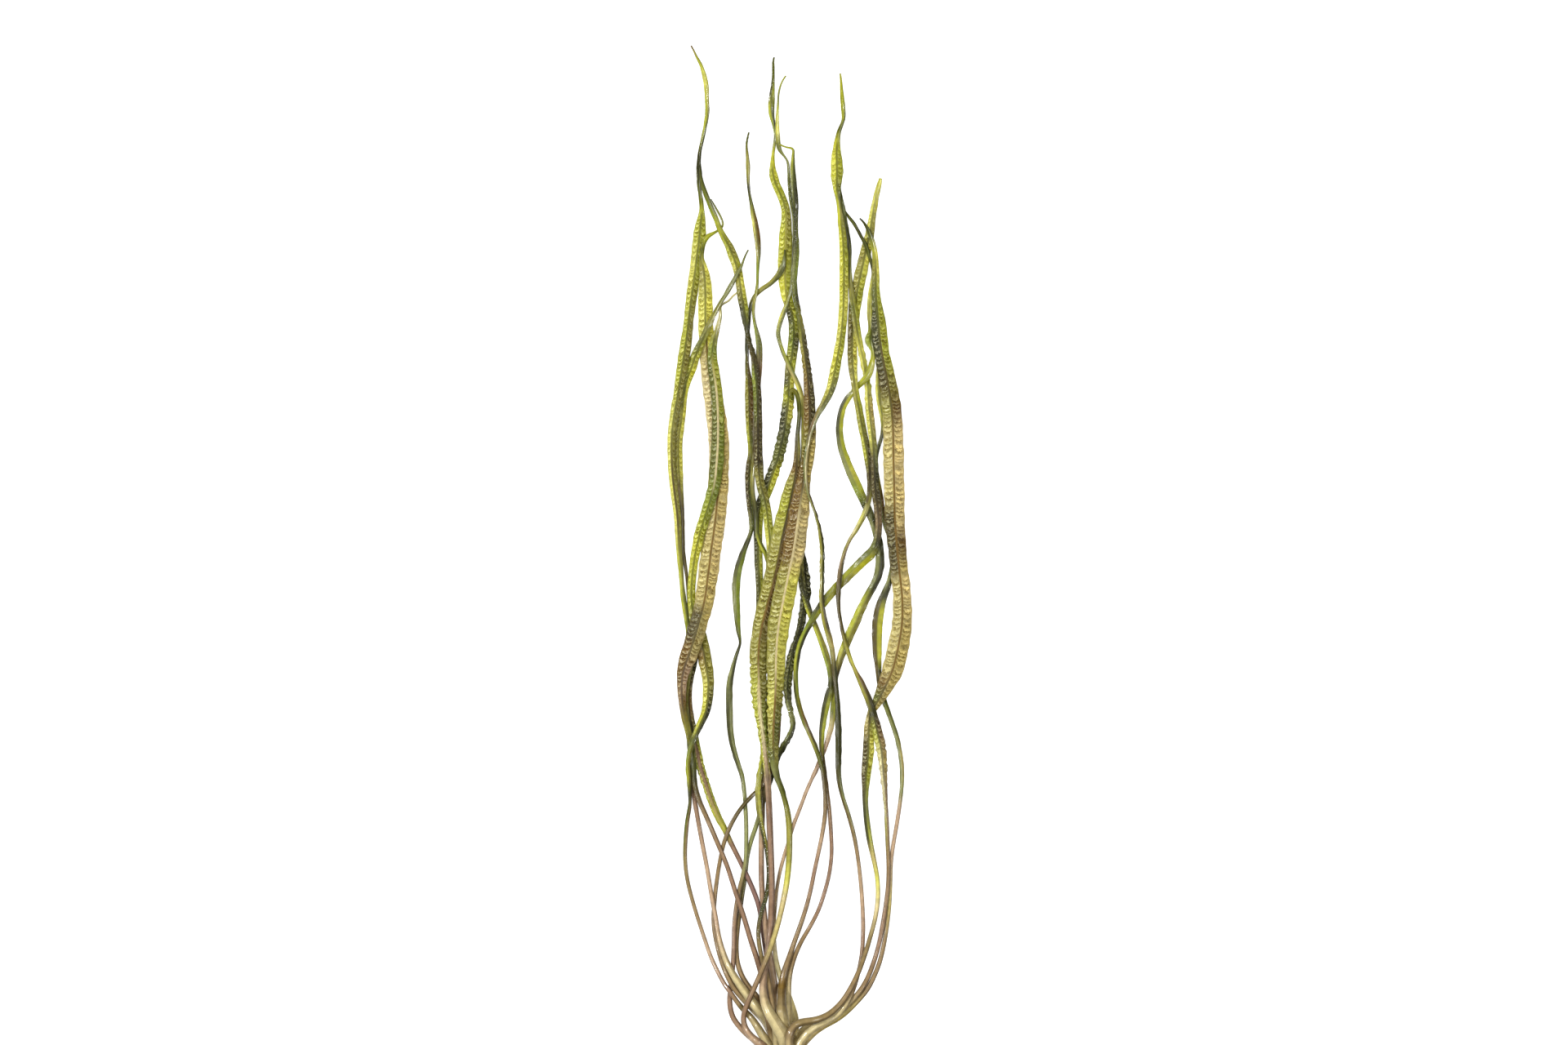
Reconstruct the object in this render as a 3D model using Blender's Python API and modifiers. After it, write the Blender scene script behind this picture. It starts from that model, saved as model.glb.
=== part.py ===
"""A bare crinum natans, lifted from the water and laid down: a bulb, its roots and its long leaves.

The plant lies on its back on the surface z = 0.  Its leaves run along +Y and its roots along -Y.
The origin is the small flat that the bulb rests on.  All driving dimensions are in millimetres.
"""

import math

import bmesh
import bpy
import numpy as np
from mathutils import Vector

MM = 0.001

# Bulb: a turned shape on an axis along Y, flattened a little where it lies.
BULB_AXIS_HEIGHT = 16.6
BULB_RADIUS = 17.0
NECK_RADIUS = 14.5
NECK_END = 32.0
BULB_STEPS = 28
# Distance along the axis and radius, from the neck down to the basal plate.
BULB_PROFILE = [
    (NECK_END, 0.0), (NECK_END, NECK_RADIUS - 1.0), (31.0, NECK_RADIUS), (24.0, 14.5), (16.0, 15.2),
    (8.0, 16.5), (0.0, BULB_RADIUS), (-8.0, 16.0), (-14.0, 13.6), (-19.0, 10.2), (-22.5, 7.0),
    (-23.5, 6.0), (-23.5, 0.0),
]

# The crown, where the leaves leave the neck, lies this far along Y.
CROWN = 38.0

# Leaves: half a millimetre of air is left beside and between them where they cross.
SIDE_ROOM = 0.6
STALK_CLEARANCE = 0.55
BLADE_CLEARANCE = 0.85
FLOOR_CLEARANCE = 0.3
SAMPLES_PER_SPAN = 6
# Rows of the ribbon stand twice as close up to this far from the crown, where the leaves bend most.
CLOSE_ROWS_END = 55.0
LEAST_ROW_SPACING = 8.6
LEAST_BEND = math.radians(24)
LEAST_BEND_SPACING = 2.4
# A leaf starts to rise this far before what it crosses, near the crown and out along the blades.
CROWN_REACH = 15.0
BLADE_REACH = 30.0
FALL_LENGTH = 105.0
# The lowest leaf bases lie this far above the underside of the neck.
BASE_INSET = 1.8
# The round stalks end this far from the crown, and are flat blades from the second distance on.
STALK_END = 140.0
BLADE_START = 190.0
# Distance from the crown and leaf thickness there.
THICKNESS = [(-5.0, 1.5), (45.0, 1.4), (STALK_END, 1.3), (BLADE_START, 0.7), (620.0, 0.6)]
# Rows that a bend pulls too low are raised by this share of what they lack, this many times.
RAISE_SHARE = 0.7
RAISE_ROUNDS = 3

# Roots: each runs from the basal plate, falls to the surface and trails along it.
ROOT_RADIUS = 1.1
ROOT_SPAN_STEPS = 2
# Points (x, y, z) of each root's middle, in the model's frame.
ROOTS = {
    "root_1": [
        (-3.6, -24.2, 15), (-7, -31, 12), (-11, -38, 6.5), (-15, -45, 2.4), (-19, -54, 1.4), (-21, -64, 1.4),
        (-26, -72, 1.4),
    ],
    "root_2": [
        (-2.2, -24.2, 19.6), (-4, -33, 17), (-6, -42, 10), (-8.5, -50, 3.6), (-10, -59, 1.4), (-9, -69, 1.4),
        (-12, -79, 1.4), (-16, -86, 1.4),
    ],
    "root_3": [
        (-0.6, -24.2, 13.2), (-1, -31, 9), (-1.5, -38, 4), (-2, -46, 1.5), (-4, -56, 1.4), (-3, -66, 1.4),
    ],
    "root_4": [
        (1.4, -24.2, 18.4), (2.4, -33, 16.4), (3, -43, 9.4), (4, -52, 3), (5.4, -62, 1.4), (4, -73, 1.4),
        (5, -84, 1.4), (9, -92, 1.4),
    ],
    "root_5": [
        (2.6, -24.2, 14), (5, -31, 10.6), (8, -38, 5.4), (11, -46, 2), (12, -56, 1.4), (16, -66, 1.4),
        (17, -75, 1.4),
    ],
    "root_6": [
        (4.4, -24.2, 17.4), (9, -29, 15), (15, -35, 9), (20, -42, 3.4), (24, -50, 1.5), (25, -60, 1.4),
        (30, -68, 1.4),
    ],
}

# The leaves are laid down in this order, each over the ones already there.
LAYING_ORDER = [12, 11, 2, 8, 6, 7, 18, 17, 1, 3, 4, 5, 14, 13, 9, 10, 15, 16]
# Here and there two leaves weave: the first passes over the second between these distances from the crown.
WEAVES = [
    (2, 3, 396, 470), (2, 4, 430, 470), (2, 5, 440, 500), (3, 4, 222, 282), (12, 13, 386, 417),
    (12, 17, 464, 530), (17, 13, 262, 292), (17, 16, 174, 225),
]
# The heights are worked out this many times over, until the weaves have settled.
SETTLING_ROUNDS = 4

# Each leaf's route from its base to its tip: x, distance from the crown, and width.
ROUTES = {
    "leaf_01": [
        (-2, -5, 6), (-4, 3, 6.5), (-9, 12, 6), (-15, 20, 5.2), (-22, 29, 4.6), (-28, 37.5, 4),
        (-33.5, 47.5, 3.2), (-37.8, 60, 2.6), (-40.5, 75, 2.4), (-43, 88, 2.3), (-45.5, 103, 2.3),
        (-48.8, 120, 2.4), (-52, 138, 2.4), (-54.2, 152, 2.6), (-55.2, 165, 2.6), (-56.2, 178, 2.8),
        (-57.5, 192, 3.2), (-59, 205, 3.6), (-58, 218, 4), (-56, 230, 4), (-56.3, 242, 3.6),
        (-57.3, 252, 3), (-58.8, 261, 3.2), (-60.2, 270, 3), (-61.2, 280, 2.4), (-62, 290, 3),
        (-62.8, 300, 3.4), (-63.2, 310, 3.8), (-63.8, 320, 4.2), (-65.2, 331, 4.4), (-66.6, 343, 4.6),
        (-67.3, 355, 4.6), (-67.2, 368, 4.8), (-65.8, 380, 5), (-63.8, 391, 5.2), (-62, 402, 6),
        (-60.4, 412, 6.6), (-58.4, 425, 6.8), (-57, 437, 5.6), (-55.8, 448, 6.2), (-54.4, 458, 6.6),
        (-52.8, 470, 6.6), (-51.4, 481, 7.2), (-50.2, 491, 7.4), (-49.4, 499, 5.6), (-48.8, 506, 2.8),
        (-49.4, 513, 2), (-50.4, 521, 2.4), (-50.4, 528, 3.6), (-50.6, 535, 2.2), (-50.1, 542, 1.6),
        (-48.3, 550, 1.7), (-46.7, 558, 2), (-45.5, 566, 2.3), (-45.7, 575, 2.2), (-46.2, 583, 2.8),
        (-47.6, 590, 2.2), (-49.8, 596, 1.5), (-52, 600, 1), (-53.8, 604, 0.6), (-55.5, 607, 0.4),
    ],
    "leaf_02": [
        (-2, -5, 4), (-2.5, 10, 4), (-4.5, 22, 3.8), (-6.5, 36, 3.4), (-9, 50, 3), (-11.5, 66, 2.7),
        (-13.8, 80, 2.6), (-17.3, 90, 2.6), (-21.2, 99, 2.6), (-26, 109, 2.6), (-31, 119, 2.8),
        (-35.5, 128.5, 3.4), (-39, 135, 4), (-43, 145, 4.4), (-46.3, 155, 4.4), (-49.5, 165, 4.6),
        (-51.7, 175, 4.8), (-54, 186, 4.8), (-56, 196, 4.4), (-57, 207, 4), (-56.6, 218, 4.6),
        (-54.5, 228, 5), (-52.8, 238, 4.4), (-54.5, 250, 3.4), (-56.2, 260, 2.4), (-57, 270, 1.8),
        (-57.8, 280, 1.6), (-59, 289, 1.8), (-60.2, 297, 2.2), (-60.4, 306, 2.2), (-60.6, 315, 2.2),
        (-61, 324, 2.6), (-62, 333, 3.6), (-62.6, 343, 4.4), (-63.2, 354, 5), (-63, 366, 4.8),
        (-61.4, 378, 4.6), (-60.2, 388, 4), (-59.2, 394, 3.2), (-58.2, 401, 5), (-55, 410, 6),
        (-52.6, 417, 5.4), (-49.6, 424, 4.4), (-46.8, 430, 3.8), (-43.6, 437, 3), (-40.8, 443, 2.2),
        (-37.6, 449, 1.9), (-34.4, 454, 2.2), (-31.8, 458.5, 2.6), (-29.3, 463, 2.2), (-26.6, 468, 1.6),
        (-24.4, 472, 1.1), (-22.5, 477.5, 0.7), (-20.3, 481.8, 0.4),
    ],
    "leaf_03": [
        (-5, -5, 4), (-7, 8, 4.2), (-9, 22, 4), (-11, 34, 3.4), (-14.5, 47, 3), (-18.8, 60, 2.8),
        (-23.3, 75, 2.6), (-28.4, 90, 2.5), (-33.3, 105, 2.5), (-39.5, 120, 2.5), (-46, 135, 2.5),
        (-50.4, 145, 2.7), (-53, 155, 2.8), (-53.8, 166, 3), (-55, 178, 3.2), (-57.8, 190, 3.4),
        (-60, 200, 3.6), (-61, 210, 4.6), (-60.8, 219, 6), (-59.2, 227, 8.6), (-57, 233, 10),
        (-54.6, 240, 10.4), (-52.2, 248, 11), (-50, 256, 10.6), (-47.8, 264, 11), (-46.3, 272, 11.4),
        (-45.2, 281, 11.6), (-44, 290, 12), (-43, 299, 12), (-41.5, 309, 12.2), (-40.2, 320, 12.2),
        (-39.2, 331, 12.4), (-38.6, 342, 12), (-38.2, 353, 12), (-38.4, 364, 12.2), (-39.4, 375, 12),
        (-41, 386, 11.6), (-42.8, 397, 10.6), (-44.3, 408, 10), (-45.5, 420, 9.2), (-46.3, 432, 8.8),
        (-46.6, 444, 8.6), (-46.6, 455, 8.2), (-46.9, 463, 7.2), (-47.7, 470, 4.8), (-48.8, 476, 2.4),
        (-48.2, 482, 1.6), (-47.2, 487, 2.2), (-45, 490.3, 2.6), (-42.5, 491.6, 1.6),
        (-40.4, 492.8, 1.2), (-38, 494.3, 0.8), (-35.8, 496.6, 0.8), (-36.3, 500, 0.8),
        (-38.5, 504.5, 0.8), (-41, 509, 0.7), (-43.2, 513, 0.4),
    ],
    "leaf_04": [
        (-7, -5, 5), (-12, 4, 4.6), (-18, 13, 3.6), (-25, 20.5, 2.6), (-31, 29, 2.3), (-35.5, 35, 2.2),
        (-42.3, 48, 2.1), (-46.8, 60, 2), (-53.4, 80, 2), (-57.8, 97, 2.1), (-59.1, 112, 2.2),
        (-58, 130, 2.2), (-56, 144, 2), (-56.8, 158, 2.2), (-57.2, 169, 2.4), (-54.5, 180.5, 3),
        (-50, 191, 4), (-46.2, 200, 5), (-45, 210, 6.2), (-44.8, 218, 6.8), (-46, 226, 7.6),
        (-47.3, 234, 8), (-49, 242, 8), (-51.5, 251, 7), (-54.2, 261, 5.4), (-55.2, 272, 4.6),
        (-54.5, 283, 4.6), (-52.9, 295, 5.2), (-50, 308, 6.2), (-47, 318, 6.4), (-43.5, 329, 6.6),
        (-41, 339, 7.2), (-39.8, 350, 8), (-39, 362, 7.6), (-38.8, 375, 7.2), (-39.2, 388, 7),
        (-40.3, 400, 6.6), (-42, 411, 6.2), (-42.3, 420, 5.2), (-41, 428, 3.8), (-38.6, 436, 2.4),
        (-37.3, 442, 1.6), (-37.8, 447, 1.3), (-36, 449, 0.9), (-32.5, 450.5, 0.7), (-29.5, 454, 0.6),
        (-26, 456.8, 0.4),
    ],
    "leaf_05": [
        (-3, -5, 3.6), (-4, 10, 3.6), (-6, 25, 3.2), (-8.5, 38, 2.6), (-11.5, 47, 2.2),
        (-13.5, 57, 2.2), (-14.2, 66, 2.2), (-12.6, 76, 2.2), (-9.5, 86, 2.2), (-7.9, 97, 2.2),
        (-8.3, 108, 2.2), (-9.8, 119, 2.2), (-12.2, 130, 2.6), (-14, 141, 3), (-14.5, 152, 3),
        (-13.2, 162, 3), (-11, 173, 3.4), (-9, 186, 4), (-7.5, 200, 4.4), (-6.5, 215, 4.6),
        (-6, 230, 4.8), (-6, 245, 4.8), (-6, 260, 4.8), (-6.2, 275, 4.8), (-6.4, 290, 4.8),
        (-6.9, 302, 4.6), (-7.9, 312, 5), (-8.8, 321, 5), (-10.5, 330, 5), (-13, 339, 5),
        (-14, 349, 5.4), (-14.3, 360, 5), (-14.4, 372, 5), (-14.5, 384, 4.8), (-15, 396, 4.8),
        (-16, 407, 4.4), (-17, 416, 3.2), (-19.4, 424, 2.8), (-21, 431, 2.6), (-22, 438, 3.6),
        (-23, 446, 5), (-24.4, 454, 5.4), (-25.5, 462, 4.8), (-27, 470, 5.2), (-29.3, 477, 5.4),
        (-32.2, 484, 4.6), (-35.2, 489.5, 3.6), (-38, 495, 2.8), (-40.2, 501, 2.8), (-42.8, 507, 2.8),
        (-45.2, 513, 2.6), (-47.6, 519, 2.4), (-49, 524, 2), (-49.8, 530, 1), (-50, 534, 0.4),
    ],
    "leaf_06": [
        (-11.5, -5, 5), (-16, -0.5, 3.8), (-21, 3.5, 3.2), (-25.5, 8, 3), (-29.3, 13, 2.8),
        (-31.2, 19, 2.8), (-31.6, 26, 2.6), (-30.8, 34, 2.4), (-29.7, 44, 2.3), (-29.1, 57, 2.3),
        (-28.8, 70, 2.2), (-27, 85, 2.2), (-24, 98, 2.2), (-22, 108, 2.2), (-21.6, 120, 2.2),
        (-21.7, 133, 2.2), (-22.5, 146, 2.2), (-23.8, 158, 2.3), (-26.5, 167, 2.5), (-29.3, 176, 3),
        (-31.2, 186, 3.4), (-31.8, 197, 3.8), (-32, 208, 3.8), (-31.8, 216, 3.6), (-30.3, 224, 2.8),
        (-28.2, 232, 2), (-26.2, 238, 1.1), (-25.2, 241, 0.9), (-25.9, 246, 1.8), (-26.8, 252, 3),
        (-27.3, 260, 3.6), (-27.8, 268, 4.2), (-27.8, 277, 4.6), (-26.8, 285, 4.4), (-25, 292, 4),
        (-22.6, 299, 3), (-20.2, 305, 2.4), (-18.6, 310, 2.2), (-18.2, 316, 3.2), (-18.8, 323, 4),
        (-19.4, 331, 4.6), (-19.7, 340, 5), (-19.5, 349, 4.6), (-18.9, 357, 3), (-19, 364, 3.4),
        (-19.4, 373, 4.4), (-19.6, 382, 5), (-19.8, 392, 5), (-20.1, 402, 4), (-21, 410, 2.2),
        (-21.2, 418, 1.8), (-21.3, 426, 2), (-20.6, 434, 2.4), (-20, 441, 2), (-19, 447, 2),
        (-16.8, 453, 2.4), (-12.8, 457.3, 2.4), (-8, 460.5, 2.6), (-4, 464, 3), (-1, 468, 3.6),
        (0.9, 472, 2.8), (1.8, 477, 1.2), (2.1, 482, 0.4),
    ],
    "leaf_07": [
        (-4, -5, 5), (-6, 3, 5), (-10, 11, 4.6), (-16, 17.5, 4), (-23, 24.5, 3.2), (-29, 31.5, 2.8),
        (-33.5, 40, 2.6), (-37, 49, 2.5), (-40, 60, 2.4), (-41.5, 70, 2.3), (-41.3, 80, 2.3),
        (-40.2, 91, 2.2), (-38.4, 104, 2.2), (-35.5, 118, 2.2), (-31, 130, 2.2), (-25, 140, 2.2),
        (-19, 147, 2.4), (-13.5, 152.5, 2.4), (-8.5, 160, 3), (-5, 170, 3.6), (-3, 185, 4),
        (-2.4, 200, 4.4), (-2.4, 220, 4.6), (-2.4, 240, 4.6), (-2.8, 256, 4.6), (-4, 270, 4.4),
        (-6, 283, 3.6), (-9, 294, 2.6), (-12.5, 301, 2.2), (-15.2, 309, 2.2), (-15.6, 317, 2.2),
        (-16.2, 325, 2.2), (-17.6, 333, 2.2), (-17.8, 342, 2.4), (-16.8, 352, 2.4), (-16, 362, 3),
        (-15.8, 375, 3.4), (-15.4, 388, 3.6), (-14.6, 400, 3.6), (-13.7, 410, 3.4), (-13.6, 420, 3.6),
        (-14.4, 428, 3), (-16.2, 436, 1.6), (-17.2, 443, 1.4), (-16.8, 450, 1.6), (-15.2, 457, 1.6),
        (-14.8, 465, 1.2), (-14.5, 473, 1.6), (-14.2, 481, 2.8), (-14.8, 489, 3.6), (-16, 497, 3.4),
        (-17.4, 504, 2.8), (-18.6, 511, 1.7), (-19.8, 517, 1.2), (-20.2, 522, 1.4), (-20.5, 528, 1.8),
        (-20.5, 533, 2.4), (-21, 540, 1.4), (-21.5, 546, 0.8), (-20.9, 550, 0.7), (-20, 554, 0.4),
    ],
    "leaf_08": [
        (0, -5, 4), (-1, 12, 4), (-3.5, 28, 3.6), (-6, 44, 3.2), (-8.8, 60, 3), (-10.4, 74, 3),
        (-11.8, 88, 3), (-12.4, 102, 3), (-12.4, 116, 3), (-12, 132, 3), (-11.6, 146, 3),
        (-11, 158, 3.2), (-10.6, 170, 4), (-11, 185, 4.6), (-12, 200, 5), (-12.8, 215, 5.4),
        (-13.2, 230, 5.4), (-13.2, 245, 5.2), (-13, 260, 5), (-13.2, 272, 4.4), (-13.8, 284, 4.4),
        (-14.2, 295, 4.8), (-14.4, 305, 4.8), (-14.4, 314, 5.4), (-13.8, 322, 6), (-11, 330, 6.8),
        (-7.8, 338, 6.8), (-5, 346, 6.8), (-2.6, 353, 6.6), (-0.6, 361, 6.8), (1.4, 370, 6.6),
        (3, 380, 7), (4.2, 390, 6.6), (4.6, 400, 5.8), (5.2, 409, 6), (6.4, 418, 6), (7.4, 427, 6.4),
        (7.6, 436, 6.2), (6.4, 443, 6), (4.4, 449, 5.6), (2.8, 456, 7), (2.2, 465, 8), (2.2, 475, 8.6),
        (2.4, 485, 8.2), (2.6, 494, 7.2), (2.9, 501, 5.8), (2.2, 508, 5), (-0.2, 515, 4.8),
        (-3.2, 521.5, 4.6), (-5, 527.5, 4.8), (-5.6, 533, 3.2), (-5.3, 540, 1.4), (-4.3, 547, 1.4),
        (-3.9, 553, 1.4), (-4.8, 559, 2), (-6.2, 565, 3), (-6.2, 572, 3.8), (-5.8, 578, 2.8),
        (-5.2, 585, 1.6), (-5, 592, 1.2), (-5.1, 597, 0.9), (-4.5, 600, 0.4),
    ],
    "leaf_09": [
        (3, -5, 8), (1.5, 3, 8), (-3.5, 12, 7), (-9, 21, 5.4), (-11.3, 30, 4.2), (-10.8, 40, 3.8),
        (-9, 49, 3.6), (-7.5, 60, 3.4), (-6.5, 72, 3.4), (-6, 86, 3.4), (-6.1, 102, 3.4),
        (-6.8, 120, 3.4), (-7.6, 140, 3.4), (-8.4, 157, 3.6), (-9.6, 170, 4), (-11.2, 184, 5),
        (-12.6, 194, 6), (-13.4, 203, 8), (-13.8, 212, 9.4), (-14, 222, 10), (-14.2, 232, 10.4),
        (-13.6, 242, 10.4), (-12.2, 251, 10.8), (-10.2, 259, 11.4), (-7.8, 268, 12), (-5.4, 277, 12.4),
        (-3.4, 286, 12.6), (-1.6, 295, 13), (0, 304, 13), (2, 313, 12.8), (4, 322, 12.4),
        (6, 331, 11.4), (7.6, 339, 9.6), (8.8, 346, 6), (9.4, 353, 4), (9.8, 361, 3.4), (9.8, 369, 2.4),
        (10.6, 377, 2.2), (10.9, 384, 2.2), (10.3, 390, 2.2), (8.8, 394.5, 2), (6.8, 397, 1.6),
        (5, 395, 1.2), (5.4, 391.5, 1), (7, 389.8, 0.5),
    ],
    "leaf_10": [
        (-9.5, -5, 5), (-13.5, -1, 4.4), (-18.5, 3, 3.6), (-22, 7.5, 3), (-23.2, 13, 2.7),
        (-21.8, 20, 2.6), (-18.4, 28, 2.6), (-14.4, 37, 2.6), (-10.6, 46, 2.7), (-7, 55, 2.8),
        (-4, 64, 2.8), (-1.4, 73, 2.8), (1.2, 84, 3), (3.2, 95, 3.2), (4.5, 108, 3.3), (4.8, 120, 3.3),
        (4.5, 131, 3.3), (2.9, 142, 3), (0.3, 151, 3), (-2.6, 159, 3.2), (-4.4, 167, 4.6),
        (-4.8, 176, 5.6), (-5, 186, 6.4), (-4.6, 196, 7.8), (-4, 206, 9), (-3.6, 218, 10),
        (-3.4, 230, 11), (-2.8, 242, 12), (-1.6, 253, 13), (0.4, 264, 13.4), (2.4, 274, 13.2),
        (4.4, 284, 12.6), (6.4, 293, 12.8), (8, 302, 13.2), (9.4, 312, 12.6), (10.8, 322, 12),
        (12, 331, 10), (13.4, 340, 8.2), (14.8, 348, 7.4), (16.2, 356, 7.6), (17, 365, 7.8),
        (17.2, 375, 7.4), (17.2, 385, 6.8), (16.8, 395, 6), (16, 405, 5), (14.8, 415, 4.4),
        (13.4, 424, 4.4), (12.4, 432, 3.6), (11.2, 439, 3.2), (9.8, 446, 3), (8.4, 454, 3),
        (7.8, 463, 3), (8.4, 472, 3.4), (9, 480, 3.4), (9, 488, 2.8), (8.9, 496, 2), (8.8, 504, 2.4),
        (8.4, 512, 3.6), (7.6, 520, 3.6), (7, 528, 3.2), (6.9, 535, 2.2), (7.2, 540, 1.4),
        (7.4, 543.3, 1), (6, 544.3, 0.9), (3.5, 544.4, 0.7), (1, 545.2, 0.6), (-1.5, 546.5, 0.4),
    ],
    "leaf_11": [
        (-5, -5, 4), (-6.5, 6, 4), (-10, 17, 3.6), (-15, 26, 3), (-20, 32, 2.8), (-24.2, 38.5, 2.7),
        (-27, 47, 2.6), (-27.6, 57, 2.5), (-27, 66, 2.4), (-25.6, 76, 2.3), (-24, 87, 2.2),
        (-22.3, 98, 2.2), (-20.8, 111, 2.2), (-18.3, 121, 2.3), (-15.3, 130, 2.4), (-12.4, 139.5, 2.4),
        (-9.6, 149, 2.4), (-6.8, 157, 2.6), (-4.4, 166, 3), (-1.4, 173.5, 3.4), (2.2, 179.5, 3.4),
        (5.2, 185, 3.2), (7, 190.5, 2.8), (6.2, 196.5, 3), (4.6, 203, 3.4), (3.8, 210, 4.4),
        (3.7, 217, 4.8), (4.6, 224, 5), (5.8, 231, 5), (7.4, 238, 4.2), (9.8, 244.5, 3.6),
        (11.6, 251, 4.2), (12.8, 258, 4.6), (14.2, 265, 5.4), (14.8, 272, 6), (14.5, 279, 6),
        (14, 286, 5), (13.8, 291.5, 3), (13.6, 297, 0.6),
    ],
    "leaf_12": [
        (6, -5, 4.4), (8, 4, 4.6), (7.8, 12, 4.8), (5.6, 20, 4.4), (2.6, 29, 3.8), (-0.8, 37, 3.2),
        (-3.2, 46, 2.6), (-4.4, 56, 2.2), (-4.7, 68, 2), (-4, 80, 1.9), (-2.8, 91, 1.8), (-1, 101, 1.8),
        (1.6, 111, 1.9), (4.4, 120, 1.9), (7.2, 129.5, 1.9), (11, 139.5, 2), (15, 150, 2),
        (19.2, 159.5, 2), (23, 168, 2.2), (26, 175, 2.3), (28.6, 183, 2.6), (30.6, 191, 3),
        (31.6, 199, 3.4), (32.2, 207, 3.4), (32.5, 214, 3), (33, 220, 3), (34.4, 226, 3.6),
        (36.4, 233, 4.2), (39.2, 240, 5), (42, 247, 5.4), (45.2, 254, 5.4), (48, 260.5, 5),
        (51, 267, 4.8), (54.4, 273, 4.4), (57.6, 279, 4.6), (59.6, 285, 5), (60.3, 292, 5),
        (60, 299, 4.8), (58.8, 306, 4.6), (56.8, 313, 4.2), (53.8, 321, 4.6), (50, 329, 5),
        (46.8, 336, 5.4), (43.6, 343, 5.4), (40.6, 350, 5.2), (38, 357, 4.6), (36.2, 364, 4.2),
        (35.4, 371, 4.2), (35.8, 378, 3.8), (37.4, 385, 3.8), (40.4, 391, 3.6), (44, 395.5, 3),
        (47.8, 399.5, 3), (51.4, 403, 4), (54, 407.5, 4), (55.6, 414, 2.8), (55.9, 420, 2.6),
        (54.4, 426.5, 7), (55, 431.5, 4), (54.4, 436, 2.4), (53.9, 441, 3), (54, 448, 3),
        (54.4, 455, 2.8), (55.4, 462, 2), (56, 467, 1.6), (55.4, 472, 1.6), (53.7, 478, 1.9),
        (51.4, 485, 1.9), (49, 489.5, 1.5), (47, 493, 1.7), (45.2, 496.6, 1.7), (42.8, 500, 1.5),
        (40.4, 503, 1.2), (39, 505.5, 0.5),
    ],
    "leaf_13": [
        (1.5, -5, 6.4), (1.6, 4, 7), (1, 12, 7), (0, 20, 5.8), (0, 30, 5), (1.8, 40, 3.8), (4.6, 49, 3),
        (7.6, 58, 2.6), (11.6, 69, 2.4), (15.2, 80, 2.3), (18, 91, 2.2), (20.2, 102, 2.2),
        (22.6, 113, 2.2), (25, 125, 2.2), (26.6, 137, 2.2), (26.5, 150, 2.2), (25.2, 163, 2.4),
        (22.2, 173.5, 2.6), (18.2, 183.5, 2.6), (14.2, 192.5, 2.8), (11.2, 201, 2.8), (9.2, 210, 2.6),
        (8.6, 219, 2.6), (9, 228, 2.8), (10.4, 237, 3), (13.2, 245, 3.2), (16.8, 252, 3.4),
        (20.6, 258.5, 4), (25, 265, 4.6), (29.8, 271, 5), (34.8, 276.5, 5), (39.8, 281.5, 5.4),
        (44.8, 286.5, 5.6), (49.8, 291.5, 6), (54, 295.5, 6), (57.4, 300.5, 5), (59, 308, 4),
        (59.4, 316, 4), (58.6, 325, 4.4), (57.4, 335, 4.6), (57, 345, 4.4), (56.6, 356, 4),
        (55.6, 367, 4.4), (54.4, 378, 4.6), (53.4, 388, 4.4), (53, 396, 3.8), (52.2, 403, 3.4),
        (50.8, 410, 3.6), (49.2, 418, 3.6), (47.4, 426, 3.6), (46, 434, 4.2), (44.8, 442, 4),
        (43.6, 450, 3.6), (42.6, 458, 3), (42, 466, 2), (41.6, 474, 2), (41.4, 482, 2.8),
        (40.8, 489, 2.6), (39.6, 495, 2.6), (38.8, 501, 2.2), (37.8, 507, 2.4), (36.6, 513, 1.8),
        (35.8, 519, 1), (35.6, 524, 0.4),
    ],
    "leaf_14": [
        (3, -5, 4.4), (4, 6, 4.6), (4.4, 16, 4), (4, 27, 3.4), (4.8, 38, 2.9), (7.4, 48, 2.6),
        (11.6, 58, 2.3), (17.4, 68, 2.2), (22.6, 78, 2.1), (26.4, 89, 2.1), (29.2, 100, 2.1),
        (30.6, 112, 2.1), (30.3, 124, 2.1), (29.4, 138, 2.1), (28, 150, 2.1), (26.4, 162, 2.2),
        (24.8, 173, 2.4), (24.5, 184, 3), (25.4, 193, 3.6), (27, 202, 4.2), (28.8, 210, 4),
        (30.2, 217, 3), (29.4, 224, 2.6), (28, 231, 3.6), (25.8, 238, 3.6), (23.2, 245, 3),
        (20.6, 252, 3), (17.6, 259, 3.4), (15, 267, 3.6), (13, 276, 4), (11.6, 286, 4.2),
        (11, 297, 4.4), (11.2, 309, 4.6), (11.6, 321, 4.6), (12.6, 332, 4), (13.2, 343, 3.4),
        (13.6, 354, 3.4), (13.8, 365, 3.4), (13.9, 375, 3.4), (13.6, 384, 3), (12.4, 391, 2.8),
        (10.6, 397.5, 2.8), (8.2, 403.5, 2.6), (5.4, 409, 2.4), (2.8, 414.5, 2.2), (0.6, 420, 2),
        (-1.2, 425.5, 2), (-2.2, 431, 2.4), (-1, 437, 2.6), (0.8, 442.5, 2.8), (2.8, 447.5, 2),
        (4.6, 453, 1.2), (6, 460, 1.3), (6.8, 470, 1.4), (7.2, 480, 1.4), (7.4, 490, 1.3),
        (7.4, 499, 1.2), (6.6, 506, 1.4), (5.4, 513, 1.6), (4.6, 521, 1.4), (4.3, 529, 1.4),
        (3.9, 535.5, 1), (2, 538.8, 0.8), (0, 541.3, 1.6), (-1.6, 544, 2.6), (-2.2, 550, 2.4),
        (-2.6, 558, 2), (-2.5, 565, 1.6), (-2.2, 571, 0.8), (-1.9, 577, 0.7), (-0.6, 583, 0.7),
        (1, 586.3, 0.6), (2.6, 588.6, 0.4),
    ],
    "leaf_15": [
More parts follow.
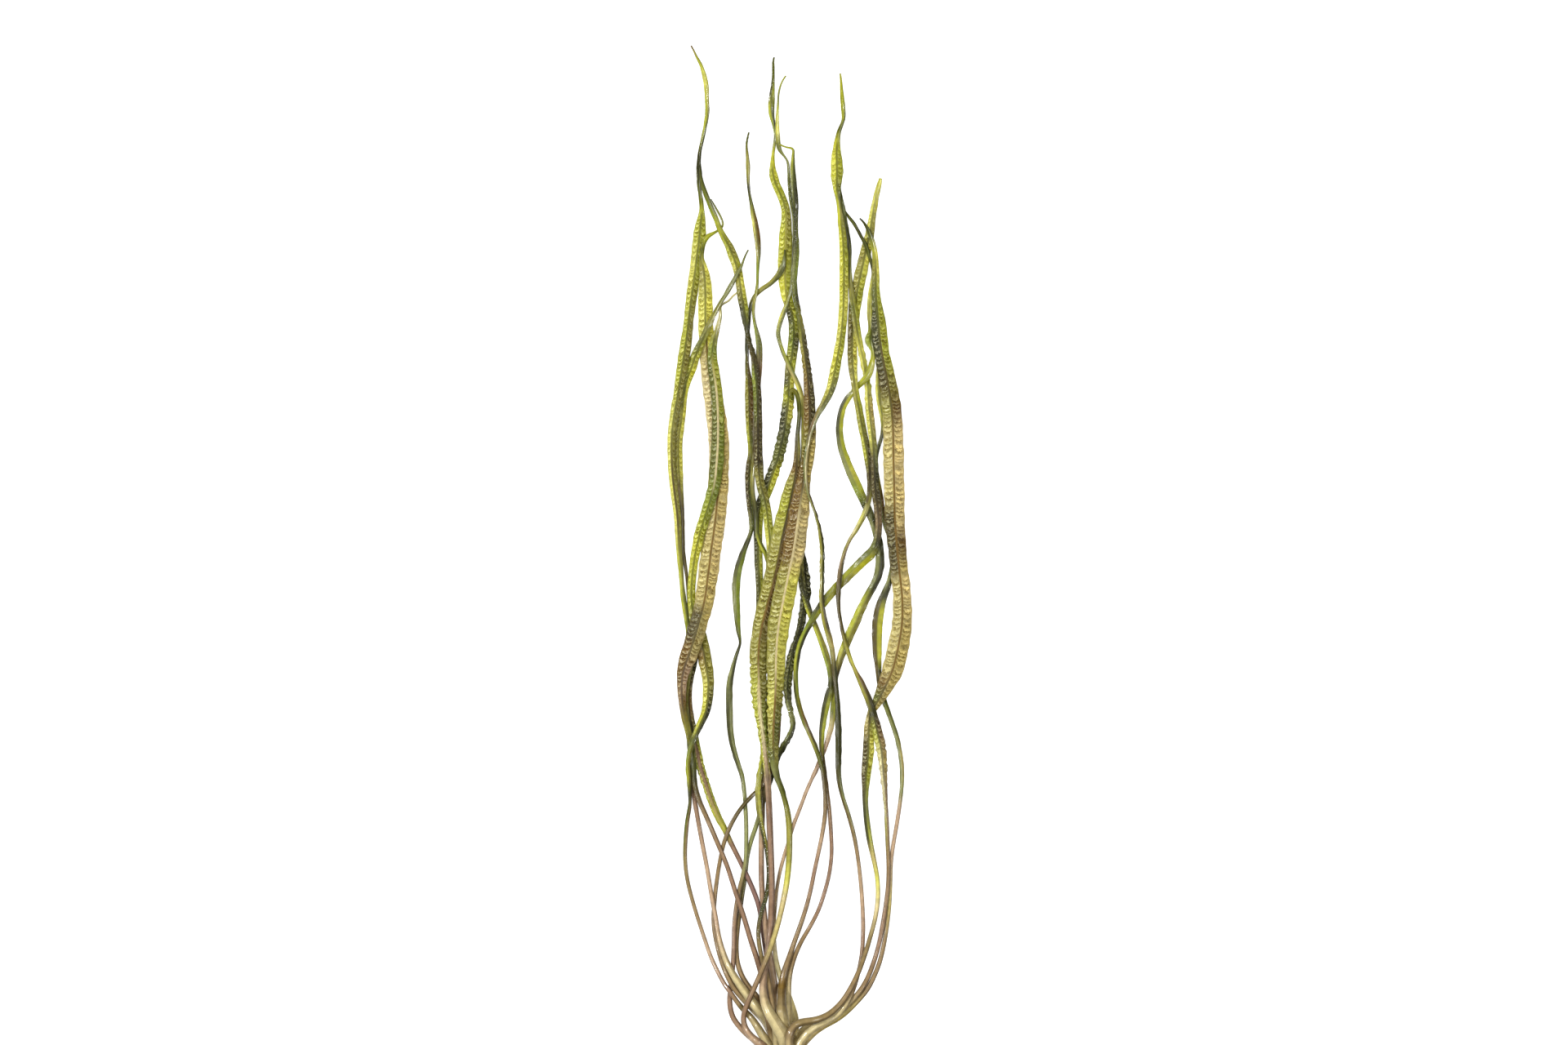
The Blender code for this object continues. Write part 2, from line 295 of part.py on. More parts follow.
        (9, -5, 4.2), (11.5, 0, 4.2), (17, 6.5, 4), (24, 10.5, 3.8), (31, 13.5, 3.4), (36.5, 18, 3),
        (40.4, 24, 2.7), (43.6, 31, 2.5), (46.6, 40, 2.3), (48.9, 51, 2.2), (49.8, 64, 2.2),
        (49.6, 78, 2.1), (48.6, 93, 2.1), (46.8, 109, 2.1), (44.4, 123, 2.2), (41, 136, 2.2),
        (37.4, 147, 2.3), (35.2, 158, 2.8), (34.8, 169, 3.2), (34.9, 181, 3.6), (34.7, 193, 3.4),
        (34.2, 205, 2.8), (33.2, 216, 2.6), (32, 227, 2.6), (31, 237, 2.8), (28.8, 246, 3.2),
        (26.6, 254, 3.2), (25.2, 262, 2.6), (24.4, 270, 3), (24.8, 279, 2.2), (24.7, 287, 2.8),
        (25, 296, 2.4), (24.2, 305, 2.4), (22.8, 313, 1.8), (20.6, 321, 1.4), (18, 328, 1.4),
        (15.8, 334.5, 1.4), (14.6, 342, 1.6), (14.4, 350, 2), (15.4, 359, 2.2), (17, 367, 2.2),
        (19.4, 375, 2.4), (22.6, 382, 3), (26, 388, 4), (29, 394, 4.8), (31.2, 401, 5.6),
        (32.8, 409, 5.8), (34.4, 417, 5.4), (35.8, 425, 5.2), (36.8, 433, 5.2), (37.6, 442, 5.2),
        (38, 451, 5.2), (38.1, 460, 5.2), (38.2, 470, 5.2), (38, 480, 4.8), (37.4, 490, 4.4),
        (36.4, 499, 3.6), (35.4, 506, 2.6), (34.6, 513, 2.6), (33.9, 519, 4.4), (33.8, 525, 6.4),
        (33.9, 531, 7.2), (33.7, 537, 6.6), (33.7, 543, 4.8), (34.2, 549, 3), (35.2, 554.5, 2),
        (37, 559, 1.6), (38.1, 562.5, 2), (37.8, 568, 2.3), (37.2, 574, 2), (36.7, 580, 1.4),
        (36.3, 586, 0.8), (35.9, 590, 0.4),
    ],
    "leaf_16": [
        (5, -5, 4.6), (4.6, 4, 4.6), (8, 10.5, 4.2), (14, 12.6, 4), (21, 13.6, 3.8), (28, 16.2, 3.4),
        (33.6, 20.4, 3), (38.4, 26, 2.8), (43.4, 34.4, 2.6), (47.6, 43, 2.5), (51, 52, 2.4),
        (54.2, 62, 2.3), (57.2, 73, 2.3), (58.9, 85, 2.3), (58.6, 97, 2.3), (56.6, 108, 2.6),
        (54.2, 119, 3.2), (52.4, 131, 3.2), (51.4, 143, 3), (51.4, 153, 4), (52, 163, 5.8),
        (53, 173, 6.4), (53.4, 183, 6.2), (53.6, 192, 5), (55.4, 200, 4.6), (59, 206, 6.2),
        (62.6, 213, 9), (66, 220, 11.4), (68.6, 227, 12.6), (70.6, 235, 12.8), (72.2, 243, 12.6),
        (73.6, 252, 11.8), (74, 262, 11.2), (73.6, 272, 10.8), (72.4, 282, 10.6), (71.4, 292, 10.6),
        (70.4, 302, 11), (69.6, 312, 11.6), (69.2, 322, 12), (69, 332, 12.2), (68.8, 342, 12.2),
        (68.5, 352, 12.4), (68.4, 362, 12.2), (68.2, 372, 11.8), (67.6, 381, 11.6), (66.6, 390, 11.4),
        (65.2, 399, 10.6), (63.4, 408, 9.6), (61.6, 417, 9), (60.2, 426, 9.4), (59.4, 434, 8.8),
        (58.8, 442, 7), (58, 450, 5.6), (57.6, 459, 4.2), (57.6, 468, 4), (57.4, 476, 3.4),
        (56.6, 483, 2.6), (55, 489, 2.6), (53.2, 493.5, 2), (51.4, 497, 1.2), (49.5, 499.6, 0.8),
        (47.7, 501.2, 0.4),
    ],
    "leaf_17": [
        (8, -5, 4.4), (10.5, 3, 4.4), (16, 9, 4), (24, 12, 3.6), (31.5, 15, 3.2), (38.6, 20, 3),
        (44.6, 26, 2.8), (49.6, 32.4, 2.6), (53.6, 40, 2.5), (57, 49, 2.4), (59.8, 59, 2.3),
        (61.9, 70, 2.3), (63.6, 81, 2.2), (65, 92, 2.2), (65.4, 104, 2.2), (64.9, 118, 2.3),
        (64.3, 132, 2.3), (63.6, 144, 2.4), (62.9, 155, 3.4), (62.1, 166, 4.6), (60.9, 177, 5.8),
        (58.6, 187, 5.8), (56.6, 196, 4.4), (54.2, 204, 4.2), (51.4, 211, 4), (48.2, 218, 3.2),
        (45, 224.5, 1.9), (42.2, 231, 2), (39.9, 238, 2.2), (38, 245.5, 2), (36.2, 254, 1.6),
        (34.9, 262, 1.9), (34.7, 271, 2.5), (35.3, 280, 2.9), (36.6, 289, 2.5), (38.7, 297, 2),
        (41.6, 304, 1.8), (45, 309.5, 2.4), (48.4, 315.5, 2.9), (51, 321, 2.9), (53.2, 328, 3),
        (54.2, 337, 3.4), (54, 346, 4), (52.8, 355, 4.6), (51.2, 364, 4.4), (49.2, 374, 4.4),
        (47.4, 384, 4.2), (45.8, 392, 3.6), (44.6, 400, 3.8), (43.6, 409, 5.2), (43.2, 419, 5.6),
        (43.4, 429, 5.6), (44, 439, 6.4), (45, 448, 7.2), (46.4, 457, 7.4), (48.2, 466, 7.2),
        (50.2, 475, 6.8), (52, 483, 6.2), (53.6, 490, 5.4), (54.8, 497, 4.6), (55.9, 504, 3.8),
        (57.2, 511, 3.5), (58.4, 517, 3), (59.8, 522, 2.4), (60.8, 525.8, 1.4),
    ],
    "leaf_18": [
        (11, -5, 6), (14, 0, 6), (19, 5, 5.4), (25.5, 9.2, 4.8), (33, 12.6, 3.8), (39.6, 17.2, 3.2),
        (46, 23.4, 2.9), (51.8, 30, 2.7), (56, 37.4, 2.5), (59.6, 46, 2.4), (62.2, 56, 2.3),
        (64.2, 67, 2.2), (65.8, 80, 2.2), (66.5, 93, 2.2), (67, 107, 2.2), (68.6, 119, 2.1),
        (70.8, 132, 2.1), (72.8, 146, 2.1), (73.8, 158, 2.2), (73.3, 169, 2.4), (71.4, 180, 2.4),
        (68.4, 190, 2.4), (65.2, 199, 2.6), (62, 208, 3), (60, 217, 3), (59.2, 226, 3.6),
        (58.6, 235, 5), (58.4, 244, 5.8), (58.7, 253, 6.2), (59.8, 261, 5.8), (61.8, 268, 4.8),
        (64.4, 274.5, 3.8), (66.6, 281, 3.2), (68.2, 289, 3), (68.4, 298, 3), (66.4, 306, 3),
        (63.8, 313, 2.8), (62, 321, 2.8), (60.8, 330, 2.8), (59.2, 339, 2.6), (57.8, 347, 2.8),
        (57.8, 355, 2.4), (59.6, 362, 1.9), (61.6, 369, 2), (62.2, 377, 2.8), (60.8, 385, 3.4),
        (59.4, 394, 3.4), (59.2, 403, 3), (60.2, 412, 3), (62.2, 421, 3.2), (63, 429, 3.4),
        (62.2, 437, 3.2), (61, 444, 2.6), (60, 451, 1.6), (59.2, 458, 0.5),
    ],
}

BROWNED = ("leaf_03", "leaf_09", "leaf_10", "leaf_16")
BRIGHT = ("leaf_01", "leaf_08", "leaf_13", "leaf_15")
LEAF_TONES = {
    "browned": (0.33, 0.27, 0.09),
    "bright": (0.36, 0.38, 0.05),
    "green": (0.16, 0.19, 0.04),
}


def clear_scene():
    """Start from an empty scene."""
    for item in list(bpy.data.objects):
        bpy.data.objects.remove(item, do_unlink=True)


def make_collection(name):
    """A collection for the parts, or for the cutters."""
    group = bpy.data.collections.new(name)
    bpy.context.scene.collection.children.link(group)
    return group


def make_material(name, colour, roughness):
    """A plain surface for one sub-part."""
    material = bpy.data.materials.new(name)
    material.use_nodes = True
    shader = material.node_tree.nodes["Principled BSDF"]
    shader.inputs["Base Color"].default_value = (*colour, 1.0)
    shader.inputs["Roughness"].default_value = roughness
    shader.inputs["Metallic"].default_value = 0.0
    return material


def smooth_curve(points, steps):
    """Points on a smooth curve through the given points, with a fixed number of steps in each span."""
    given = np.array(points, float)
    padded = np.vstack([2 * given[0] - given[1], given, 2 * given[-1] - given[-2]])
    share = np.linspace(0.0, 1.0, steps, endpoint=False)[:, None]
    spans = []
    for index in range(len(given) - 1):
        before, start, end, after = padded[index:index + 4]
        spans.append(
            start
            + 0.5 * share * (end - before)
            + share ** 2 * (before - 2.5 * start + 2 * end - 0.5 * after)
            + share ** 3 * (1.5 * (start - end) + 0.5 * (after - before))
        )
    spans.append(given[-1:])
    return np.vstack(spans)


def ease(value):
    """A smooth rise from 0 to 1."""
    value = np.clip(value, 0.0, 1.0)
    return value * value * (3.0 - 2.0 * value)


def leaf_thickness(distance):
    """Leaf thickness at a distance from the crown."""
    table = np.array(THICKNESS)
    return np.interp(distance, table[:, 0], table[:, 1])


def resting_height(route):
    """Height of a leaf that nothing lies under: it falls from the round neck to the surface."""
    thickness = leaf_thickness(route[:, 1])
    on_surface = FLOOR_CLEARANCE + thickness / 2
    inside = np.clip(NECK_RADIUS ** 2 - route[:, 0] ** 2, 0.0, None)
    in_neck = BULB_AXIS_HEIGHT - np.sqrt(inside) + BASE_INSET
    fall = ease(1.0 - route[:, 1] / FALL_LENGTH)
    return on_surface + (np.minimum(in_neck, BULB_AXIS_HEIGHT) - on_surface) * fall


def ribbon_rows(route):
    """Which samples of a route carry a row of the ribbon: closer together in the crown and in bends."""
    steps = np.diff(route[:, :2], axis=0)
    heading = np.unwrap(np.arctan2(steps[:, 1], steps[:, 0]))
    heading = np.append(heading, heading[-1])
    rows = [0]
    for index in range(1, len(route) - 1):
        spacing = np.hypot(*(route[index] - route[rows[-1]])[:2])
        bend = abs(heading[index] - heading[rows[-1]])
        if route[index, 1] < CLOSE_ROWS_END:
            wanted = index % (SAMPLES_PER_SPAN // 2) == 0
        elif index % SAMPLES_PER_SPAN == 0:
            wanted = spacing > LEAST_ROW_SPACING or (bend > LEAST_BEND and spacing > LEAST_BEND_SPACING)
        else:
            wanted = False
        if wanted:
            rows.append(index)
    if np.hypot(*(route[-1] - route[rows[-1]])[:2]) < LEAST_BEND_SPACING:
        rows.pop()
    rows.append(len(route) - 1)
    return rows


def straighten(height, rows):
    """Raise the rows until the straight runs between them clear every sample, and return those runs."""
    carried = height[rows].copy()
    for _ in range(RAISE_ROUNDS):
        runs = np.interp(np.arange(len(height)), rows, carried)
        short = np.clip(height - runs, 0.0, None)
        for index in range(len(rows) - 1):
            lift = short[rows[index]:rows[index + 1] + 1].max()
            carried[index:index + 2] += RAISE_SHARE * lift
    return np.interp(np.arange(len(height)), rows, carried)


def passes_over(number, other, distance):
    """Which samples of a leaf pass over another: all of the one laid later, but where the two weave."""
    over = np.full(len(distance), LAYING_ORDER.index(number) > LAYING_ORDER.index(other))
    for upper, lower, start, end in WEAVES:
        if {upper, lower} == {number, other}:
            over[(distance > start) & (distance < end)] = number == upper
    return over


def lift_over(route, resting, others):
    """Heights that carry a leaf over others in smooth bridges, where its samples pass over them."""
    need = resting.copy()
    for other, other_height, passes in others:
        across = route[:, None, 0] - other[None, :, 0]
        along = route[:, None, 1] - other[None, :, 1]
        touching = (route[:, None, 2] + other[None, :, 2]) / 2 + SIDE_ROOM
        thickness = (leaf_thickness(route[:, None, 1]) + leaf_thickness(other[None, :, 1])) / 2
        blade = ease((route[:, None, 1] - STALK_END) / (BLADE_START - STALK_END))
        clearance = STALK_CLEARANCE + (BLADE_CLEARANCE - STALK_CLEARANCE) * blade
        above = other_height[None, :] + thickness + clearance
        near = (np.hypot(across, along) < touching) & passes[:, None]
        need = np.maximum(need, np.where(near, above, 0.0).max(axis=1))
    steps = np.hypot(*np.diff(route[:, :2], axis=0).T)
    length = np.concatenate([[0.0], np.cumsum(steps)])
    reach = CROWN_REACH + (BLADE_REACH - CROWN_REACH) * ease(route[:, 1] / FALL_LENGTH)
    apart = np.abs(length[:, None] - length[None, :]) / reach[None, :]
    bridge = 0.5 + 0.5 * np.cos(np.pi * np.clip(apart, 0.0, 1.0))
    return resting + ((need - resting)[None, :] * bridge).max(axis=1)


def lay_leaves():
    """Every leaf's route with its height, laid one after another until the weaves have settled."""
    routes = {}
    for number in LAYING_ORDER:
        routes[number] = smooth_curve(ROUTES[f"leaf_{number:02d}"], SAMPLES_PER_SPAN)
    heights = {number: resting_height(route) for number, route in routes.items()}
    for _ in range(SETTLING_ROUNDS):
        for number, route in routes.items():
            others = []
            for other in LAYING_ORDER:
                passes = passes_over(number, other, route[:, 1])
                if passes.any():
                    others.append((routes[other], heights[other], passes))
            lifted = lift_over(route, resting_height(route), others)
            heights[number] = straighten(lifted, ribbon_rows(route))
    laid = {}
    for number, route in routes.items():
        laid[f"leaf_{number:02d}"] = np.column_stack([route, heights[number]])
    return laid


def make_leaf(name, route, material, collection):
    """A ribbon along the route, one face wide, thickened to a closed solid."""
    chosen = ribbon_rows(route)
    rows = route[chosen]
    tangents = np.gradient(route[:, :2], axis=0)[chosen]
    tangents /= np.linalg.norm(tangents, axis=1)[:, None]
    tangents[0] = (0.0, 1.0)
    widest = leaf_thickness(rows[0, 1])
    shape = bmesh.new()
    bmesh.ops.create_grid(shape, x_segments=1, y_segments=len(rows) - 1, size=1.0)
    weights = shape.verts.layers.deform.verify()
    for vertex in shape.verts:
        row = round((vertex.co.y + 1.0) / 2.0 * (len(rows) - 1))
        side = vertex.co.x
        x, y, width, height = rows[row]
        along_x, along_y = tangents[row]
        vertex.co = Vector((
            (x + along_y * side * width / 2) * MM,
            (y + CROWN - along_x * side * width / 2) * MM,
            height * MM,
        ))
        vertex[weights][0] = float(leaf_thickness(y) / widest)
    mesh = bpy.data.meshes.new(name)
    shape.to_mesh(mesh)
    shape.free()
    leaf = bpy.data.objects.new(name, mesh)
    leaf.vertex_groups.new(name="thickness")
    collection.objects.link(leaf)
    mesh.materials.append(material)
    wall = leaf.modifiers.new("blade", "SOLIDIFY")
    wall.thickness = widest * MM
    wall.offset = 0.0
    wall.vertex_group = "thickness"
    mesh.shade_smooth()
    return leaf


def make_bulb(material, collection, cutters):
    """The turned bulb with its neck, cut flat where it lies on the surface."""
    mesh = bpy.data.meshes.new("bulb")
    corners = [(radius * MM, 0.0, along * MM) for along, radius in BULB_PROFILE]
    edges = [(index, index + 1) for index in range(len(corners) - 1)]
    mesh.from_pydata(corners, edges, [])
    bulb = bpy.data.objects.new("bulb", mesh)
    collection.objects.link(bulb)
    bulb.location = (0.0, 0.0, BULB_AXIS_HEIGHT * MM)
    bulb.rotation_euler = (-math.pi / 2, 0.0, 0.0)
    mesh.materials.append(material)
    turn = bulb.modifiers.new("turn", "SCREW")
    turn.axis = "Z"
    turn.steps = BULB_STEPS
    turn.render_steps = BULB_STEPS
    turn.use_merge_vertices = True
    turn.merge_threshold = 0.00001
    turn.use_smooth_shade = True

    below = bpy.data.meshes.new("surface_cutter")
    block = bmesh.new()
    bmesh.ops.create_cube(block, size=4 * BULB_RADIUS * MM)
    block.to_mesh(below)
    block.free()
    cutter = bpy.data.objects.new("surface_cutter", below)
    cutters.objects.link(cutter)
    cutter.location = (0.0, 0.0, -2 * BULB_RADIUS * MM)
    cutter.hide_render = True
    cutter.display_type = "WIRE"
    flat = bulb.modifiers.new("resting flat", "BOOLEAN")
    flat.operation = "DIFFERENCE"
    flat.solver = "EXACT"
    flat.object = cutter
    return bulb


def make_root(name, points, material, collection):
    """A thin round root as a tube with closed ends."""
    curve = bpy.data.curves.new(name, "CURVE")
    curve.dimensions = "3D"
    curve.bevel_depth = ROOT_RADIUS * MM
    curve.bevel_resolution = 2
    curve.use_fill_caps = True
    route = smooth_curve(points, ROOT_SPAN_STEPS)
    spline = curve.splines.new("POLY")
    spline.points.add(len(route) - 1)
    for point, (x, y, z) in zip(spline.points, route):
        point.co = (x * MM, y * MM, z * MM, 1.0)
    root = bpy.data.objects.new(name, curve)
    collection.objects.link(root)
    curve.materials.append(material)
    return root


def main():
    """Build the plant."""
    clear_scene()
    plant = make_collection("crinum_natans")
    cutters = make_collection("cutters")
    make_bulb(make_material("bulb_skin", (0.62, 0.58, 0.38), 0.45), plant, cutters)
    for name, points in ROOTS.items():
        make_root(name, points, make_material(name, (0.72, 0.66, 0.50), 0.5), plant)
    for name, route in sorted(lay_leaves().items()):
        tone = "browned" if name in BROWNED else "bright" if name in BRIGHT else "green"
        make_leaf(name, route, make_material(name, LEAF_TONES[tone], 0.4), plant)


main()
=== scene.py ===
# %% [markdown]
# # A ribbon-leaved aquarium plant, laid down
#
# The real plant is a bulb thicker than a thumb, with a tuft of roots at one end and a sheaf of
# narrow leaves, up to 0.6 m long, at the other.  Its leaves are limp, so they lie over one another
# in long lazy curves, and light from a pale table shines through them.
#
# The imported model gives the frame.  Everything here is built around it, in metres, with the bulb
# near the origin, the leaves along +Y and the surface at z = 0.

# %% Load the frame
import math
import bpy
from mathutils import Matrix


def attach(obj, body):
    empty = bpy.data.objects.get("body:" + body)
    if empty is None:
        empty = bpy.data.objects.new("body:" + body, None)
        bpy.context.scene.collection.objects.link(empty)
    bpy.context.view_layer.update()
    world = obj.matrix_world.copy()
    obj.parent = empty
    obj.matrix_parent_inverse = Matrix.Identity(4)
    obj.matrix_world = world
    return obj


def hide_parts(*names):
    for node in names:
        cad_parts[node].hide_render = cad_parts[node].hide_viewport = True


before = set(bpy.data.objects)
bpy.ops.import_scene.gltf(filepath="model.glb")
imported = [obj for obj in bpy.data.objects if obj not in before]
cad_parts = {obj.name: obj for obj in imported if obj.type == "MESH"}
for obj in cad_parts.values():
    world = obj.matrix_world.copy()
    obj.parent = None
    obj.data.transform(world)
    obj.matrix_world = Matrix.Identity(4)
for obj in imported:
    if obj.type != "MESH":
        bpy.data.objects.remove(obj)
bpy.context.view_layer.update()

from types import SimpleNamespace

import bmesh
import bpy
import numpy as np

MM = 0.001

# %% [markdown]
# ## Looking straight down
#
# The plant grows upright.  Here it lies on the surface, so the camera looks straight down at the
# side that faced it.  A long lens from 2.7 m keeps the far ends of the leaves true.

# %% Camera
CAMERA_HEIGHT = 2.667
VIEW_MIDDLE = (0.0015, 0.353)
LENS = 100.0
SENSOR_WIDTH = 36.0
FARTHEST_SEEN = 20.0

camera_data = bpy.data.cameras.new("camera")
camera_data.lens = LENS
camera_data.sensor_width = SENSOR_WIDTH
camera_data.clip_end = FARTHEST_SEEN
camera = bpy.data.objects.new("camera", camera_data)
camera.location = (*VIEW_MIDDLE, CAMERA_HEIGHT)
bpy.context.scene.collection.objects.link(camera)
bpy.context.scene.camera = camera
print("camera sees a width of", round(CAMERA_HEIGHT * SENSOR_WIDTH / LENS, 3), "m")

# %% [markdown]
# ## Mixing a finish
#
# A finish is a tree of small nodes that ends in a shader.  Adding a node and joining its sockets
# takes many lines, so a helper keeps them short.  Colours are given as on a paint chart.


# %% Helper for finishes
class Finish:
    """A material under way: its node tree, and short ways to add nodes and to join them."""

    def __init__(self, name):
        self.material = bpy.data.materials.new(name)
        self.material.use_nodes = True
        self.tree = self.material.node_tree
        self.shader = self.tree.nodes["Principled BSDF"]
        self.output = self.tree.nodes["Material Output"]

    def feed(self, socket, value):
        """Give a socket a plain value, or link another socket to it."""
        if isinstance(value, bpy.types.NodeSocket):
            self.tree.links.new(value, socket)
        else:
            socket.default_value = (*value, 1.0) if isinstance(value, np.ndarray) else value

    def add(self, kind, **settings):
        """A node with some of its settings or inputs given by name."""
        node = self.tree.nodes.new("ShaderNode" + kind)
        for key, value in settings.items():
            if hasattr(node, key) and not isinstance(value, bpy.types.NodeSocket):
                setattr(node, key, value)
            else:
                self.feed(node.inputs[key.replace("_", " ").title()], value)
        return node

    def surface(self, inputs):
        """Feed inputs of the Principled shader, each by its name."""
        for key, value in inputs.items():
            self.feed(self.shader.inputs[key], value)

    def math(self, operation, *values):
        """Numbers or value sockets joined by an operation."""
        node = self.add("Math", operation=operation)
        for socket, value in zip(node.inputs, values):
            self.feed(socket, value)
        return node.outputs["Value"]

    def spread(self, source, low, high, to_low, to_high):
        """A value socket spread smoothly from one range to another, and kept inside it."""
        node = self.add("MapRange", interpolation_type="SMOOTHSTEP")
        for key, value in (("From Min", low), ("From Max", high), ("To Min", to_low), ("To Max", to_high)):
            node.inputs[key].default_value = value
        self.feed(node.inputs["Value"], source)
        return node.outputs["Result"]

    def scaled(self, colour, factor):
        """A colour socket times a value socket."""
        node = self.add("VectorMath", operation="SCALE")
        self.feed(node.inputs[0], colour)
        self.feed(node.inputs["Scale"], factor)
        return node.outputs[0]

    def mixed(self, share, first, second):
        """A colour blended into another by a value socket; a colour is a socket or a tone."""
        node = self.add("Mix", data_type="RGBA")
        for key, value in (("Factor", share), ("A", first), ("B", second)):
            self.feed(node.inputs[key], value)
        return node.outputs["Result"]

    def ramp(self, source, stops):
        """A colour that runs through stops, each a position and a colour, as a value socket rises."""
        node = self.add("ValToRGB")
        elements = node.color_ramp.elements
        elements.remove(elements[-1])
        for order, (position, colour) in enumerate(stops):
            stop = elements.new(position) if order else elements[0]
            stop.position = position
            stop.color = (*colour, 1.0)
        self.feed(node.inputs["Fac"], source)
        return node.outputs["Color"]

    def attribute(self, name, output_name="Fac"):
        """A value or a colour that the mesh carries."""
        return self.add("Attribute", attribute_name=name).outputs[output_name]

    def bump(self, height, strength, distance, below=None):
        """A normal that is tilted by a height socket, over another bump where one is given."""
        node = self.add("Bump", strength=strength, distance=distance)
        self.feed(node.inputs["Height"], height)
        if below is not None:
            self.feed(node.inputs["Normal"], below)
        return node.outputs["Normal"]


def tone(red, green, blue):
    """A colour given as on a paint chart, 0 to 255, turned to the linear values that light uses."""
    shares = [value / 255.0 for value in (red, green, blue)]
    return np.array([
        share / 12.92 if share <= 0.04045 else ((share + 0.055) / 1.055) ** 2.4 for share in shares
    ])


print("a middle grey gives back", tone(128, 128, 128)[0].round(2), "of the light")

# %% [markdown]
# ## A pale, glowing table
#
# The leaves are thin enough to shine where light comes from behind them and to darken where two or
# three lie over one another.  A floor that is pale and gives a little light of its own does this
# the way a light table does.

# %% Floor
FLOOR_REACH = 6.0
FLOOR_GLOW = 0.85

floor_shape = bmesh.new()
bmesh.ops.create_grid(floor_shape, x_segments=1, y_segments=1, size=FLOOR_REACH)
floor_mesh = bpy.data.meshes.new("floor")
floor_shape.to_mesh(floor_mesh)
floor_shape.free()
floor = bpy.data.objects.new("floor", floor_mesh)
bpy.context.scene.collection.objects.link(floor)
floor_paint = Finish("floor_white")
floor_paint.surface({
    "Base Color": (0.62, 0.62, 0.62, 1.0),
    "Roughness": 0.9,
    "Specular IOR Level": 0.1,
    "Emission Color": (1.0, 1.0, 1.0, 1.0),
    "Emission Strength": FLOOR_GLOW,
})
floor_mesh.materials.append(floor_paint.material)
print("floor is", 2 * FLOOR_REACH, "m across")

# %% [markdown]
# ## Two lamps and a pale room
#
# A small bright lamp at the upper left draws the glints, and a larger one at the right fills the
# shadows.  A pale room round both keeps the dark sides of the leaves from going black.


# %% Lamps
LIT_PLACE = (0.0, 0.3, 0.0)


def soft_light(name, place, size, power):
    """A square lamp at a place, turned towards the plant."""
    lamp = bpy.data.lights.new(name, "AREA")
    lamp.shape = "SQUARE"
    lamp.size = size
    lamp.energy = power
    light = bpy.data.objects.new(name, lamp)
    light.location = place
    x, y, z = np.array(LIT_PLACE) - np.array(place)
    light.rotation_euler = (math.atan2(math.hypot(x, y), -z), 0.0, math.atan2(-x, y))
    bpy.context.scene.collection.objects.link(light)
    return light


lamps = [
    soft_light("key_light", (-1.0, 0.9, 1.9), size=0.28, power=40.0),
    soft_light("fill_light", (1.3, 0.1, 2.0), size=0.7, power=24.0),
]
print("lamps stand at heights of", [round(lamp.location.z, 2) for lamp in lamps], "m")

# %% Room
ROOM_LIGHT = 0.42

world = bpy.data.worlds.new("soft_room")
world.use_nodes = True
backdrop = world.node_tree.nodes["Background"]
backdrop.inputs["Color"].default_value = (1.0, 1.0, 1.0, 1.0)
backdrop.inputs["Strength"].default_value = ROOM_LIGHT
bpy.context.scene.world = world
bpy.context.scene.view_settings.view_transform = "Standard"
print("the room gives", ROOM_LIGHT, "of full light")

# %% [markdown]
# ## The route of every leaf
#
# Each leaf is a ribbon that wanders.  Its route is a list of stations read off about one every
# centimetre, from the crown to the tip: how far it is to the side, how far from the crown, and how
# wide it looks there.  Where a leaf turns on its edge it looks narrow.  All are in millimetres, and
# the crown is where the leaves leave the neck of the bulb.

# %% Stations of the leaves
CROWN = 38.0
LAYING_ORDER = [12, 11, 2, 8, 6, 7, 18, 17, 1, 3, 4, 5, 14, 13, 9, 10, 15, 16]

